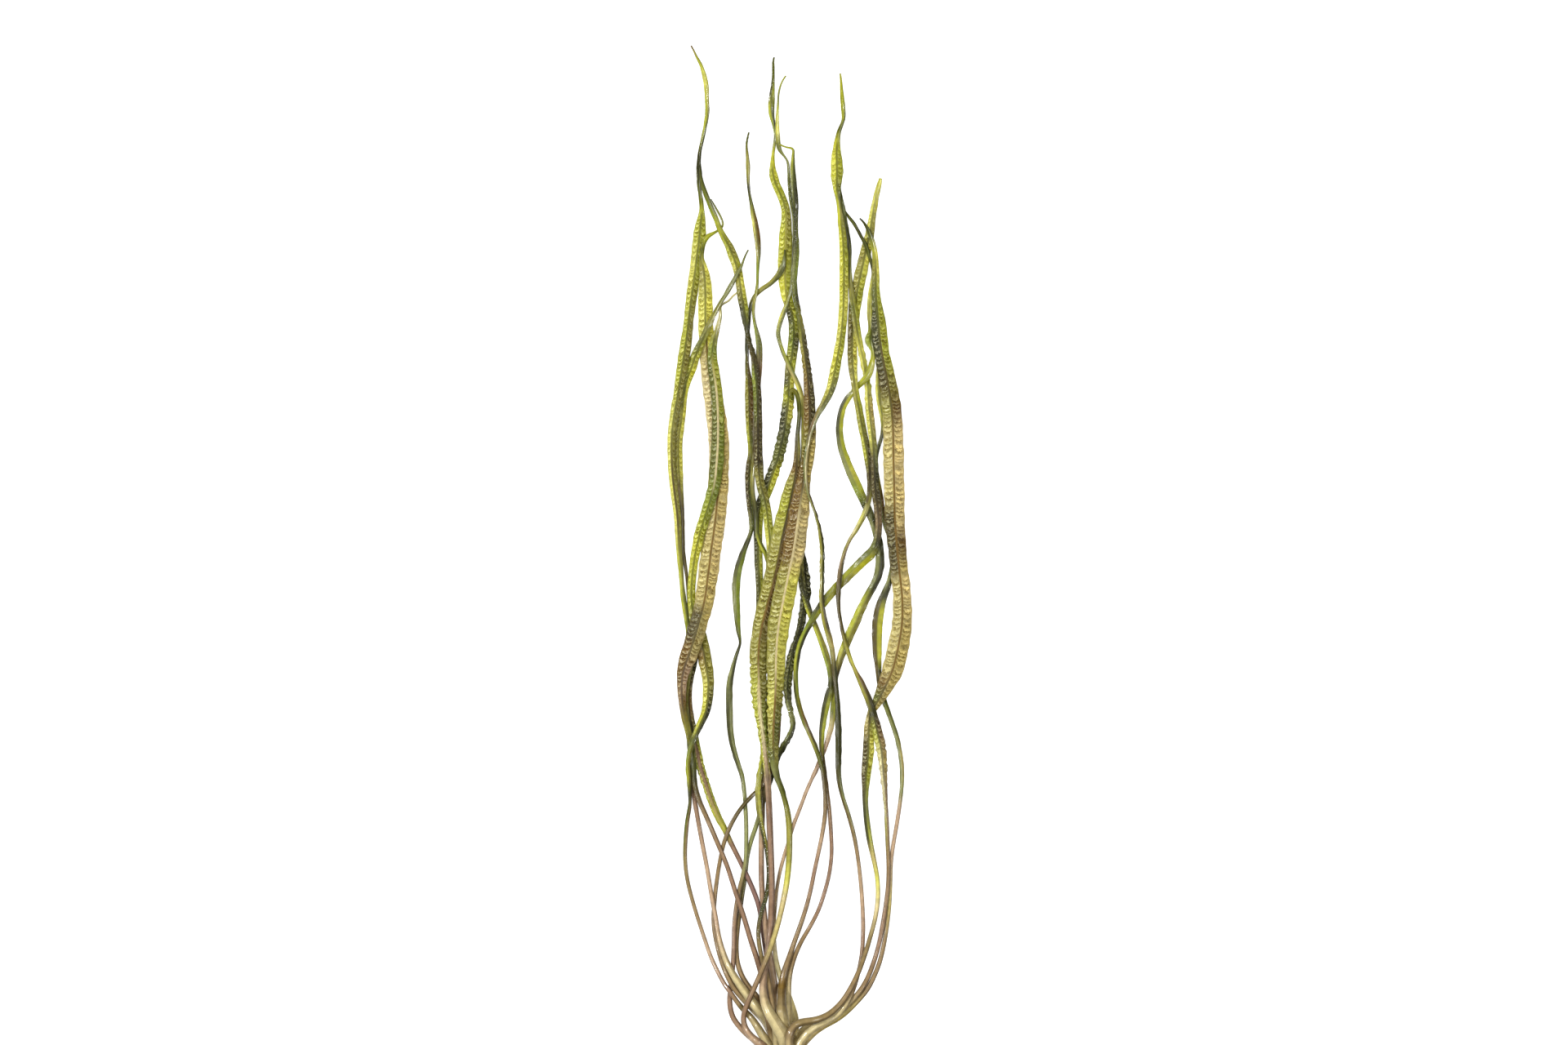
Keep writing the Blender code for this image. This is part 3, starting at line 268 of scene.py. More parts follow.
ROUTES = {
    "leaf_01": [
        (-2, -5, 6), (-4, 3, 6.5), (-9, 12, 6), (-15, 20, 5.2), (-22, 29, 4.6), (-28, 37.5, 4),
        (-33.5, 47.5, 3.2), (-37.8, 60, 2.6), (-40.5, 75, 2.4), (-43, 88, 2.3), (-45.5, 103, 2.3),
        (-48.8, 120, 2.4), (-52, 138, 2.4), (-54.2, 152, 2.6), (-55.2, 165, 2.6), (-56.2, 178, 2.8),
        (-57.5, 192, 3.2), (-59, 205, 3.6), (-58, 218, 4), (-56, 230, 4), (-56.3, 242, 3.6),
        (-57.3, 252, 3), (-58.8, 261, 3.2), (-60.2, 270, 3), (-61.2, 280, 2.4), (-62, 290, 3),
        (-62.8, 300, 3.4), (-63.2, 310, 3.8), (-63.8, 320, 4.2), (-65.2, 331, 4.4), (-66.6, 343, 4.6),
        (-67.3, 355, 4.6), (-67.2, 368, 4.8), (-65.8, 380, 5), (-63.8, 391, 5.2), (-62, 402, 6),
        (-60.4, 412, 6.6), (-58.4, 425, 6.8), (-57, 437, 5.6), (-55.8, 448, 6.2), (-54.4, 458, 6.6),
        (-52.8, 470, 6.6), (-51.4, 481, 7.2), (-50.2, 491, 7.4), (-49.4, 499, 5.6), (-48.8, 506, 2.8),
        (-49.4, 513, 2), (-50.4, 521, 2.4), (-50.4, 528, 3.6), (-50.6, 535, 2.2), (-50.1, 542, 1.6),
        (-48.3, 550, 1.7), (-46.7, 558, 2), (-45.5, 566, 2.3), (-45.7, 575, 2.2), (-46.2, 583, 2.8),
        (-47.6, 590, 2.2), (-49.8, 596, 1.5), (-52, 600, 1), (-53.8, 604, 0.6), (-55.5, 607, 0.4),
    ],
    "leaf_02": [
        (-2, -5, 4), (-2.5, 10, 4), (-4.5, 22, 3.8), (-6.5, 36, 3.4), (-9, 50, 3), (-11.5, 66, 2.7),
        (-13.8, 80, 2.6), (-17.3, 90, 2.6), (-21.2, 99, 2.6), (-26, 109, 2.6), (-31, 119, 2.8),
        (-35.5, 128.5, 3.4), (-39, 135, 4), (-43, 145, 4.4), (-46.3, 155, 4.4), (-49.5, 165, 4.6),
        (-51.7, 175, 4.8), (-54, 186, 4.8), (-56, 196, 4.4), (-57, 207, 4), (-56.6, 218, 4.6),
        (-54.5, 228, 5), (-52.8, 238, 4.4), (-54.5, 250, 3.4), (-56.2, 260, 2.4), (-57, 270, 1.8),
        (-57.8, 280, 1.6), (-59, 289, 1.8), (-60.2, 297, 2.2), (-60.4, 306, 2.2), (-60.6, 315, 2.2),
        (-61, 324, 2.6), (-62, 333, 3.6), (-62.6, 343, 4.4), (-63.2, 354, 5), (-63, 366, 4.8),
        (-61.4, 378, 4.6), (-60.2, 388, 4), (-59.2, 394, 3.2), (-58.2, 401, 5), (-55, 410, 6),
        (-52.6, 417, 5.4), (-49.6, 424, 4.4), (-46.8, 430, 3.8), (-43.6, 437, 3), (-40.8, 443, 2.2),
        (-37.6, 449, 1.9), (-34.4, 454, 2.2), (-31.8, 458.5, 2.6), (-29.3, 463, 2.2), (-26.6, 468, 1.6),
        (-24.4, 472, 1.1), (-22.5, 477.5, 0.7), (-20.3, 481.8, 0.4),
    ],
    "leaf_03": [
        (-5, -5, 4), (-7, 8, 4.2), (-9, 22, 4), (-11, 34, 3.4), (-14.5, 47, 3), (-18.8, 60, 2.8),
        (-23.3, 75, 2.6), (-28.4, 90, 2.5), (-33.3, 105, 2.5), (-39.5, 120, 2.5), (-46, 135, 2.5),
        (-50.4, 145, 2.7), (-53, 155, 2.8), (-53.8, 166, 3), (-55, 178, 3.2), (-57.8, 190, 3.4),
        (-60, 200, 3.6), (-61, 210, 4.6), (-60.8, 219, 6), (-59.2, 227, 8.6), (-57, 233, 10),
        (-54.6, 240, 10.4), (-52.2, 248, 11), (-50, 256, 10.6), (-47.8, 264, 11), (-46.3, 272, 11.4),
        (-45.2, 281, 11.6), (-44, 290, 12), (-43, 299, 12), (-41.5, 309, 12.2), (-40.2, 320, 12.2),
        (-39.2, 331, 12.4), (-38.6, 342, 12), (-38.2, 353, 12), (-38.4, 364, 12.2), (-39.4, 375, 12),
        (-41, 386, 11.6), (-42.8, 397, 10.6), (-44.3, 408, 10), (-45.5, 420, 9.2), (-46.3, 432, 8.8),
        (-46.6, 444, 8.6), (-46.6, 455, 8.2), (-46.9, 463, 7.2), (-47.7, 470, 4.8), (-48.8, 476, 2.4),
        (-48.2, 482, 1.6), (-47.2, 487, 2.2), (-45, 490.3, 2.6), (-42.5, 491.6, 1.6),
        (-40.4, 492.8, 1.2), (-38, 494.3, 0.8), (-35.8, 496.6, 0.8), (-36.3, 500, 0.8),
        (-38.5, 504.5, 0.8), (-41, 509, 0.7), (-43.2, 513, 0.4),
    ],
    "leaf_04": [
        (-7, -5, 5), (-12, 4, 4.6), (-18, 13, 3.6), (-25, 20.5, 2.6), (-31, 29, 2.3), (-35.5, 35, 2.2),
        (-42.3, 48, 2.1), (-46.8, 60, 2), (-53.4, 80, 2), (-57.8, 97, 2.1), (-59.1, 112, 2.2),
        (-58, 130, 2.2), (-56, 144, 2), (-56.8, 158, 2.2), (-57.2, 169, 2.4), (-54.5, 180.5, 3),
        (-50, 191, 4), (-46.2, 200, 5), (-45, 210, 6.2), (-44.8, 218, 6.8), (-46, 226, 7.6),
        (-47.3, 234, 8), (-49, 242, 8), (-51.5, 251, 7), (-54.2, 261, 5.4), (-55.2, 272, 4.6),
        (-54.5, 283, 4.6), (-52.9, 295, 5.2), (-50, 308, 6.2), (-47, 318, 6.4), (-43.5, 329, 6.6),
        (-41, 339, 7.2), (-39.8, 350, 8), (-39, 362, 7.6), (-38.8, 375, 7.2), (-39.2, 388, 7),
        (-40.3, 400, 6.6), (-42, 411, 6.2), (-42.3, 420, 5.2), (-41, 428, 3.8), (-38.6, 436, 2.4),
        (-37.3, 442, 1.6), (-37.8, 447, 1.3), (-36, 449, 0.9), (-32.5, 450.5, 0.7), (-29.5, 454, 0.6),
        (-26, 456.8, 0.4),
    ],
    "leaf_05": [
        (-3, -5, 3.6), (-4, 10, 3.6), (-6, 25, 3.2), (-8.5, 38, 2.6), (-11.5, 47, 2.2),
        (-13.5, 57, 2.2), (-14.2, 66, 2.2), (-12.6, 76, 2.2), (-9.5, 86, 2.2), (-7.9, 97, 2.2),
        (-8.3, 108, 2.2), (-9.8, 119, 2.2), (-12.2, 130, 2.6), (-14, 141, 3), (-14.5, 152, 3),
        (-13.2, 162, 3), (-11, 173, 3.4), (-9, 186, 4), (-7.5, 200, 4.4), (-6.5, 215, 4.6),
        (-6, 230, 4.8), (-6, 245, 4.8), (-6, 260, 4.8), (-6.2, 275, 4.8), (-6.4, 290, 4.8),
        (-6.9, 302, 4.6), (-7.9, 312, 5), (-8.8, 321, 5), (-10.5, 330, 5), (-13, 339, 5),
        (-14, 349, 5.4), (-14.3, 360, 5), (-14.4, 372, 5), (-14.5, 384, 4.8), (-15, 396, 4.8),
        (-16, 407, 4.4), (-17, 416, 3.2), (-19.4, 424, 2.8), (-21, 431, 2.6), (-22, 438, 3.6),
        (-23, 446, 5), (-24.4, 454, 5.4), (-25.5, 462, 4.8), (-27, 470, 5.2), (-29.3, 477, 5.4),
        (-32.2, 484, 4.6), (-35.2, 489.5, 3.6), (-38, 495, 2.8), (-40.2, 501, 2.8), (-42.8, 507, 2.8),
        (-45.2, 513, 2.6), (-47.6, 519, 2.4), (-49, 524, 2), (-49.8, 530, 1), (-50, 534, 0.4),
    ],
    "leaf_06": [
        (-11.5, -5, 5), (-16, -0.5, 3.8), (-21, 3.5, 3.2), (-25.5, 8, 3), (-29.3, 13, 2.8),
        (-31.2, 19, 2.8), (-31.6, 26, 2.6), (-30.8, 34, 2.4), (-29.7, 44, 2.3), (-29.1, 57, 2.3),
        (-28.8, 70, 2.2), (-27, 85, 2.2), (-24, 98, 2.2), (-22, 108, 2.2), (-21.6, 120, 2.2),
        (-21.7, 133, 2.2), (-22.5, 146, 2.2), (-23.8, 158, 2.3), (-26.5, 167, 2.5), (-29.3, 176, 3),
        (-31.2, 186, 3.4), (-31.8, 197, 3.8), (-32, 208, 3.8), (-31.8, 216, 3.6), (-30.3, 224, 2.8),
        (-28.2, 232, 2), (-26.2, 238, 1.1), (-25.2, 241, 0.9), (-25.9, 246, 1.8), (-26.8, 252, 3),
        (-27.3, 260, 3.6), (-27.8, 268, 4.2), (-27.8, 277, 4.6), (-26.8, 285, 4.4), (-25, 292, 4),
        (-22.6, 299, 3), (-20.2, 305, 2.4), (-18.6, 310, 2.2), (-18.2, 316, 3.2), (-18.8, 323, 4),
        (-19.4, 331, 4.6), (-19.7, 340, 5), (-19.5, 349, 4.6), (-18.9, 357, 3), (-19, 364, 3.4),
        (-19.4, 373, 4.4), (-19.6, 382, 5), (-19.8, 392, 5), (-20.1, 402, 4), (-21, 410, 2.2),
        (-21.2, 418, 1.8), (-21.3, 426, 2), (-20.6, 434, 2.4), (-20, 441, 2), (-19, 447, 2),
        (-16.8, 453, 2.4), (-12.8, 457.3, 2.4), (-8, 460.5, 2.6), (-4, 464, 3), (-1, 468, 3.6),
        (0.9, 472, 2.8), (1.8, 477, 1.2), (2.1, 482, 0.4),
    ],
    "leaf_07": [
        (-4, -5, 5), (-6, 3, 5), (-10, 11, 4.6), (-16, 17.5, 4), (-23, 24.5, 3.2), (-29, 31.5, 2.8),
        (-33.5, 40, 2.6), (-37, 49, 2.5), (-40, 60, 2.4), (-41.5, 70, 2.3), (-41.3, 80, 2.3),
        (-40.2, 91, 2.2), (-38.4, 104, 2.2), (-35.5, 118, 2.2), (-31, 130, 2.2), (-25, 140, 2.2),
        (-19, 147, 2.4), (-13.5, 152.5, 2.4), (-8.5, 160, 3), (-5, 170, 3.6), (-3, 185, 4),
        (-2.4, 200, 4.4), (-2.4, 220, 4.6), (-2.4, 240, 4.6), (-2.8, 256, 4.6), (-4, 270, 4.4),
        (-6, 283, 3.6), (-9, 294, 2.6), (-12.5, 301, 2.2), (-15.2, 309, 2.2), (-15.6, 317, 2.2),
        (-16.2, 325, 2.2), (-17.6, 333, 2.2), (-17.8, 342, 2.4), (-16.8, 352, 2.4), (-16, 362, 3),
        (-15.8, 375, 3.4), (-15.4, 388, 3.6), (-14.6, 400, 3.6), (-13.7, 410, 3.4), (-13.6, 420, 3.6),
        (-14.4, 428, 3), (-16.2, 436, 1.6), (-17.2, 443, 1.4), (-16.8, 450, 1.6), (-15.2, 457, 1.6),
        (-14.8, 465, 1.2), (-14.5, 473, 1.6), (-14.2, 481, 2.8), (-14.8, 489, 3.6), (-16, 497, 3.4),
        (-17.4, 504, 2.8), (-18.6, 511, 1.7), (-19.8, 517, 1.2), (-20.2, 522, 1.4), (-20.5, 528, 1.8),
        (-20.5, 533, 2.4), (-21, 540, 1.4), (-21.5, 546, 0.8), (-20.9, 550, 0.7), (-20, 554, 0.4),
    ],
    "leaf_08": [
        (0, -5, 4), (-1, 12, 4), (-3.5, 28, 3.6), (-6, 44, 3.2), (-8.8, 60, 3), (-10.4, 74, 3),
        (-11.8, 88, 3), (-12.4, 102, 3), (-12.4, 116, 3), (-12, 132, 3), (-11.6, 146, 3),
        (-11, 158, 3.2), (-10.6, 170, 4), (-11, 185, 4.6), (-12, 200, 5), (-12.8, 215, 5.4),
        (-13.2, 230, 5.4), (-13.2, 245, 5.2), (-13, 260, 5), (-13.2, 272, 4.4), (-13.8, 284, 4.4),
        (-14.2, 295, 4.8), (-14.4, 305, 4.8), (-14.4, 314, 5.4), (-13.8, 322, 6), (-11, 330, 6.8),
        (-7.8, 338, 6.8), (-5, 346, 6.8), (-2.6, 353, 6.6), (-0.6, 361, 6.8), (1.4, 370, 6.6),
        (3, 380, 7), (4.2, 390, 6.6), (4.6, 400, 5.8), (5.2, 409, 6), (6.4, 418, 6), (7.4, 427, 6.4),
        (7.6, 436, 6.2), (6.4, 443, 6), (4.4, 449, 5.6), (2.8, 456, 7), (2.2, 465, 8), (2.2, 475, 8.6),
        (2.4, 485, 8.2), (2.6, 494, 7.2), (2.9, 501, 5.8), (2.2, 508, 5), (-0.2, 515, 4.8),
        (-3.2, 521.5, 4.6), (-5, 527.5, 4.8), (-5.6, 533, 3.2), (-5.3, 540, 1.4), (-4.3, 547, 1.4),
        (-3.9, 553, 1.4), (-4.8, 559, 2), (-6.2, 565, 3), (-6.2, 572, 3.8), (-5.8, 578, 2.8),
        (-5.2, 585, 1.6), (-5, 592, 1.2), (-5.1, 597, 0.9), (-4.5, 600, 0.4),
    ],
    "leaf_09": [
        (3, -5, 8), (1.5, 3, 8), (-3.5, 12, 7), (-9, 21, 5.4), (-11.3, 30, 4.2), (-10.8, 40, 3.8),
        (-9, 49, 3.6), (-7.5, 60, 3.4), (-6.5, 72, 3.4), (-6, 86, 3.4), (-6.1, 102, 3.4),
        (-6.8, 120, 3.4), (-7.6, 140, 3.4), (-8.4, 157, 3.6), (-9.6, 170, 4), (-11.2, 184, 5),
        (-12.6, 194, 6), (-13.4, 203, 8), (-13.8, 212, 9.4), (-14, 222, 10), (-14.2, 232, 10.4),
        (-13.6, 242, 10.4), (-12.2, 251, 10.8), (-10.2, 259, 11.4), (-7.8, 268, 12), (-5.4, 277, 12.4),
        (-3.4, 286, 12.6), (-1.6, 295, 13), (0, 304, 13), (2, 313, 12.8), (4, 322, 12.4),
        (6, 331, 11.4), (7.6, 339, 9.6), (8.8, 346, 6), (9.4, 353, 4), (9.8, 361, 3.4), (9.8, 369, 2.4),
        (10.6, 377, 2.2), (10.9, 384, 2.2), (10.3, 390, 2.2), (8.8, 394.5, 2), (6.8, 397, 1.6),
        (5, 395, 1.2), (5.4, 391.5, 1), (7, 389.8, 0.5),
    ],
    "leaf_10": [
        (-9.5, -5, 5), (-13.5, -1, 4.4), (-18.5, 3, 3.6), (-22, 7.5, 3), (-23.2, 13, 2.7),
        (-21.8, 20, 2.6), (-18.4, 28, 2.6), (-14.4, 37, 2.6), (-10.6, 46, 2.7), (-7, 55, 2.8),
        (-4, 64, 2.8), (-1.4, 73, 2.8), (1.2, 84, 3), (3.2, 95, 3.2), (4.5, 108, 3.3), (4.8, 120, 3.3),
        (4.5, 131, 3.3), (2.9, 142, 3), (0.3, 151, 3), (-2.6, 159, 3.2), (-4.4, 167, 4.6),
        (-4.8, 176, 5.6), (-5, 186, 6.4), (-4.6, 196, 7.8), (-4, 206, 9), (-3.6, 218, 10),
        (-3.4, 230, 11), (-2.8, 242, 12), (-1.6, 253, 13), (0.4, 264, 13.4), (2.4, 274, 13.2),
        (4.4, 284, 12.6), (6.4, 293, 12.8), (8, 302, 13.2), (9.4, 312, 12.6), (10.8, 322, 12),
        (12, 331, 10), (13.4, 340, 8.2), (14.8, 348, 7.4), (16.2, 356, 7.6), (17, 365, 7.8),
        (17.2, 375, 7.4), (17.2, 385, 6.8), (16.8, 395, 6), (16, 405, 5), (14.8, 415, 4.4),
        (13.4, 424, 4.4), (12.4, 432, 3.6), (11.2, 439, 3.2), (9.8, 446, 3), (8.4, 454, 3),
        (7.8, 463, 3), (8.4, 472, 3.4), (9, 480, 3.4), (9, 488, 2.8), (8.9, 496, 2), (8.8, 504, 2.4),
        (8.4, 512, 3.6), (7.6, 520, 3.6), (7, 528, 3.2), (6.9, 535, 2.2), (7.2, 540, 1.4),
        (7.4, 543.3, 1), (6, 544.3, 0.9), (3.5, 544.4, 0.7), (1, 545.2, 0.6), (-1.5, 546.5, 0.4),
    ],
    "leaf_11": [
        (-5, -5, 4), (-6.5, 6, 4), (-10, 17, 3.6), (-15, 26, 3), (-20, 32, 2.8), (-24.2, 38.5, 2.7),
        (-27, 47, 2.6), (-27.6, 57, 2.5), (-27, 66, 2.4), (-25.6, 76, 2.3), (-24, 87, 2.2),
        (-22.3, 98, 2.2), (-20.8, 111, 2.2), (-18.3, 121, 2.3), (-15.3, 130, 2.4), (-12.4, 139.5, 2.4),
        (-9.6, 149, 2.4), (-6.8, 157, 2.6), (-4.4, 166, 3), (-1.4, 173.5, 3.4), (2.2, 179.5, 3.4),
        (5.2, 185, 3.2), (7, 190.5, 2.8), (6.2, 196.5, 3), (4.6, 203, 3.4), (3.8, 210, 4.4),
        (3.7, 217, 4.8), (4.6, 224, 5), (5.8, 231, 5), (7.4, 238, 4.2), (9.8, 244.5, 3.6),
        (11.6, 251, 4.2), (12.8, 258, 4.6), (14.2, 265, 5.4), (14.8, 272, 6), (14.5, 279, 6),
        (14, 286, 5), (13.8, 291.5, 3), (13.6, 297, 0.6),
    ],
    "leaf_12": [
        (6, -5, 4.4), (8, 4, 4.6), (7.8, 12, 4.8), (5.6, 20, 4.4), (2.6, 29, 3.8), (-0.8, 37, 3.2),
        (-3.2, 46, 2.6), (-4.4, 56, 2.2), (-4.7, 68, 2), (-4, 80, 1.9), (-2.8, 91, 1.8), (-1, 101, 1.8),
        (1.6, 111, 1.9), (4.4, 120, 1.9), (7.2, 129.5, 1.9), (11, 139.5, 2), (15, 150, 2),
        (19.2, 159.5, 2), (23, 168, 2.2), (26, 175, 2.3), (28.6, 183, 2.6), (30.6, 191, 3),
        (31.6, 199, 3.4), (32.2, 207, 3.4), (32.5, 214, 3), (33, 220, 3), (34.4, 226, 3.6),
        (36.4, 233, 4.2), (39.2, 240, 5), (42, 247, 5.4), (45.2, 254, 5.4), (48, 260.5, 5),
        (51, 267, 4.8), (54.4, 273, 4.4), (57.6, 279, 4.6), (59.6, 285, 5), (60.3, 292, 5),
        (60, 299, 4.8), (58.8, 306, 4.6), (56.8, 313, 4.2), (53.8, 321, 4.6), (50, 329, 5),
        (46.8, 336, 5.4), (43.6, 343, 5.4), (40.6, 350, 5.2), (38, 357, 4.6), (36.2, 364, 4.2),
        (35.4, 371, 4.2), (35.8, 378, 3.8), (37.4, 385, 3.8), (40.4, 391, 3.6), (44, 395.5, 3),
        (47.8, 399.5, 3), (51.4, 403, 4), (54, 407.5, 4), (55.6, 414, 2.8), (55.9, 420, 2.6),
        (54.4, 426.5, 7), (55, 431.5, 4), (54.4, 436, 2.4), (53.9, 441, 3), (54, 448, 3),
        (54.4, 455, 2.8), (55.4, 462, 2), (56, 467, 1.6), (55.4, 472, 1.6), (53.7, 478, 1.9),
        (51.4, 485, 1.9), (49, 489.5, 1.5), (47, 493, 1.7), (45.2, 496.6, 1.7), (42.8, 500, 1.5),
        (40.4, 503, 1.2), (39, 505.5, 0.5),
    ],
    "leaf_13": [
        (1.5, -5, 6.4), (1.6, 4, 7), (1, 12, 7), (0, 20, 5.8), (0, 30, 5), (1.8, 40, 3.8), (4.6, 49, 3),
        (7.6, 58, 2.6), (11.6, 69, 2.4), (15.2, 80, 2.3), (18, 91, 2.2), (20.2, 102, 2.2),
        (22.6, 113, 2.2), (25, 125, 2.2), (26.6, 137, 2.2), (26.5, 150, 2.2), (25.2, 163, 2.4),
        (22.2, 173.5, 2.6), (18.2, 183.5, 2.6), (14.2, 192.5, 2.8), (11.2, 201, 2.8), (9.2, 210, 2.6),
        (8.6, 219, 2.6), (9, 228, 2.8), (10.4, 237, 3), (13.2, 245, 3.2), (16.8, 252, 3.4),
        (20.6, 258.5, 4), (25, 265, 4.6), (29.8, 271, 5), (34.8, 276.5, 5), (39.8, 281.5, 5.4),
        (44.8, 286.5, 5.6), (49.8, 291.5, 6), (54, 295.5, 6), (57.4, 300.5, 5), (59, 308, 4),
        (59.4, 316, 4), (58.6, 325, 4.4), (57.4, 335, 4.6), (57, 345, 4.4), (56.6, 356, 4),
        (55.6, 367, 4.4), (54.4, 378, 4.6), (53.4, 388, 4.4), (53, 396, 3.8), (52.2, 403, 3.4),
        (50.8, 410, 3.6), (49.2, 418, 3.6), (47.4, 426, 3.6), (46, 434, 4.2), (44.8, 442, 4),
        (43.6, 450, 3.6), (42.6, 458, 3), (42, 466, 2), (41.6, 474, 2), (41.4, 482, 2.8),
        (40.8, 489, 2.6), (39.6, 495, 2.6), (38.8, 501, 2.2), (37.8, 507, 2.4), (36.6, 513, 1.8),
        (35.8, 519, 1), (35.6, 524, 0.4),
    ],
    "leaf_14": [
        (3, -5, 4.4), (4, 6, 4.6), (4.4, 16, 4), (4, 27, 3.4), (4.8, 38, 2.9), (7.4, 48, 2.6),
        (11.6, 58, 2.3), (17.4, 68, 2.2), (22.6, 78, 2.1), (26.4, 89, 2.1), (29.2, 100, 2.1),
        (30.6, 112, 2.1), (30.3, 124, 2.1), (29.4, 138, 2.1), (28, 150, 2.1), (26.4, 162, 2.2),
        (24.8, 173, 2.4), (24.5, 184, 3), (25.4, 193, 3.6), (27, 202, 4.2), (28.8, 210, 4),
        (30.2, 217, 3), (29.4, 224, 2.6), (28, 231, 3.6), (25.8, 238, 3.6), (23.2, 245, 3),
        (20.6, 252, 3), (17.6, 259, 3.4), (15, 267, 3.6), (13, 276, 4), (11.6, 286, 4.2),
        (11, 297, 4.4), (11.2, 309, 4.6), (11.6, 321, 4.6), (12.6, 332, 4), (13.2, 343, 3.4),
        (13.6, 354, 3.4), (13.8, 365, 3.4), (13.9, 375, 3.4), (13.6, 384, 3), (12.4, 391, 2.8),
        (10.6, 397.5, 2.8), (8.2, 403.5, 2.6), (5.4, 409, 2.4), (2.8, 414.5, 2.2), (0.6, 420, 2),
        (-1.2, 425.5, 2), (-2.2, 431, 2.4), (-1, 437, 2.6), (0.8, 442.5, 2.8), (2.8, 447.5, 2),
        (4.6, 453, 1.2), (6, 460, 1.3), (6.8, 470, 1.4), (7.2, 480, 1.4), (7.4, 490, 1.3),
        (7.4, 499, 1.2), (6.6, 506, 1.4), (5.4, 513, 1.6), (4.6, 521, 1.4), (4.3, 529, 1.4),
        (3.9, 535.5, 1), (2, 538.8, 0.8), (0, 541.3, 1.6), (-1.6, 544, 2.6), (-2.2, 550, 2.4),
        (-2.6, 558, 2), (-2.5, 565, 1.6), (-2.2, 571, 0.8), (-1.9, 577, 0.7), (-0.6, 583, 0.7),
        (1, 586.3, 0.6), (2.6, 588.6, 0.4),
    ],
    "leaf_15": [
        (9, -5, 4.2), (11.5, 0, 4.2), (17, 6.5, 4), (24, 10.5, 3.8), (31, 13.5, 3.4), (36.5, 18, 3),
        (40.4, 24, 2.7), (43.6, 31, 2.5), (46.6, 40, 2.3), (48.9, 51, 2.2), (49.8, 64, 2.2),
        (49.6, 78, 2.1), (48.6, 93, 2.1), (46.8, 109, 2.1), (44.4, 123, 2.2), (41, 136, 2.2),
        (37.4, 147, 2.3), (35.2, 158, 2.8), (34.8, 169, 3.2), (34.9, 181, 3.6), (34.7, 193, 3.4),
        (34.2, 205, 2.8), (33.2, 216, 2.6), (32, 227, 2.6), (31, 237, 2.8), (28.8, 246, 3.2),
        (26.6, 254, 3.2), (25.2, 262, 2.6), (24.4, 270, 3), (24.8, 279, 2.2), (24.7, 287, 2.8),
        (25, 296, 2.4), (24.2, 305, 2.4), (22.8, 313, 1.8), (20.6, 321, 1.4), (18, 328, 1.4),
        (15.8, 334.5, 1.4), (14.6, 342, 1.6), (14.4, 350, 2), (15.4, 359, 2.2), (17, 367, 2.2),
        (19.4, 375, 2.4), (22.6, 382, 3), (26, 388, 4), (29, 394, 4.8), (31.2, 401, 5.6),
        (32.8, 409, 5.8), (34.4, 417, 5.4), (35.8, 425, 5.2), (36.8, 433, 5.2), (37.6, 442, 5.2),
        (38, 451, 5.2), (38.1, 460, 5.2), (38.2, 470, 5.2), (38, 480, 4.8), (37.4, 490, 4.4),
        (36.4, 499, 3.6), (35.4, 506, 2.6), (34.6, 513, 2.6), (33.9, 519, 4.4), (33.8, 525, 6.4),
        (33.9, 531, 7.2), (33.7, 537, 6.6), (33.7, 543, 4.8), (34.2, 549, 3), (35.2, 554.5, 2),
        (37, 559, 1.6), (38.1, 562.5, 2), (37.8, 568, 2.3), (37.2, 574, 2), (36.7, 580, 1.4),
        (36.3, 586, 0.8), (35.9, 590, 0.4),
    ],
    "leaf_16": [
        (5, -5, 4.6), (4.6, 4, 4.6), (8, 10.5, 4.2), (14, 12.6, 4), (21, 13.6, 3.8), (28, 16.2, 3.4),
        (33.6, 20.4, 3), (38.4, 26, 2.8), (43.4, 34.4, 2.6), (47.6, 43, 2.5), (51, 52, 2.4),
        (54.2, 62, 2.3), (57.2, 73, 2.3), (58.9, 85, 2.3), (58.6, 97, 2.3), (56.6, 108, 2.6),
        (54.2, 119, 3.2), (52.4, 131, 3.2), (51.4, 143, 3), (51.4, 153, 4), (52, 163, 5.8),
        (53, 173, 6.4), (53.4, 183, 6.2), (53.6, 192, 5), (55.4, 200, 4.6), (59, 206, 6.2),
        (62.6, 213, 9), (66, 220, 11.4), (68.6, 227, 12.6), (70.6, 235, 12.8), (72.2, 243, 12.6),
        (73.6, 252, 11.8), (74, 262, 11.2), (73.6, 272, 10.8), (72.4, 282, 10.6), (71.4, 292, 10.6),
        (70.4, 302, 11), (69.6, 312, 11.6), (69.2, 322, 12), (69, 332, 12.2), (68.8, 342, 12.2),
        (68.5, 352, 12.4), (68.4, 362, 12.2), (68.2, 372, 11.8), (67.6, 381, 11.6), (66.6, 390, 11.4),
        (65.2, 399, 10.6), (63.4, 408, 9.6), (61.6, 417, 9), (60.2, 426, 9.4), (59.4, 434, 8.8),
        (58.8, 442, 7), (58, 450, 5.6), (57.6, 459, 4.2), (57.6, 468, 4), (57.4, 476, 3.4),
        (56.6, 483, 2.6), (55, 489, 2.6), (53.2, 493.5, 2), (51.4, 497, 1.2), (49.5, 499.6, 0.8),
        (47.7, 501.2, 0.4),
    ],
    "leaf_17": [
        (8, -5, 4.4), (10.5, 3, 4.4), (16, 9, 4), (24, 12, 3.6), (31.5, 15, 3.2), (38.6, 20, 3),
        (44.6, 26, 2.8), (49.6, 32.4, 2.6), (53.6, 40, 2.5), (57, 49, 2.4), (59.8, 59, 2.3),
        (61.9, 70, 2.3), (63.6, 81, 2.2), (65, 92, 2.2), (65.4, 104, 2.2), (64.9, 118, 2.3),
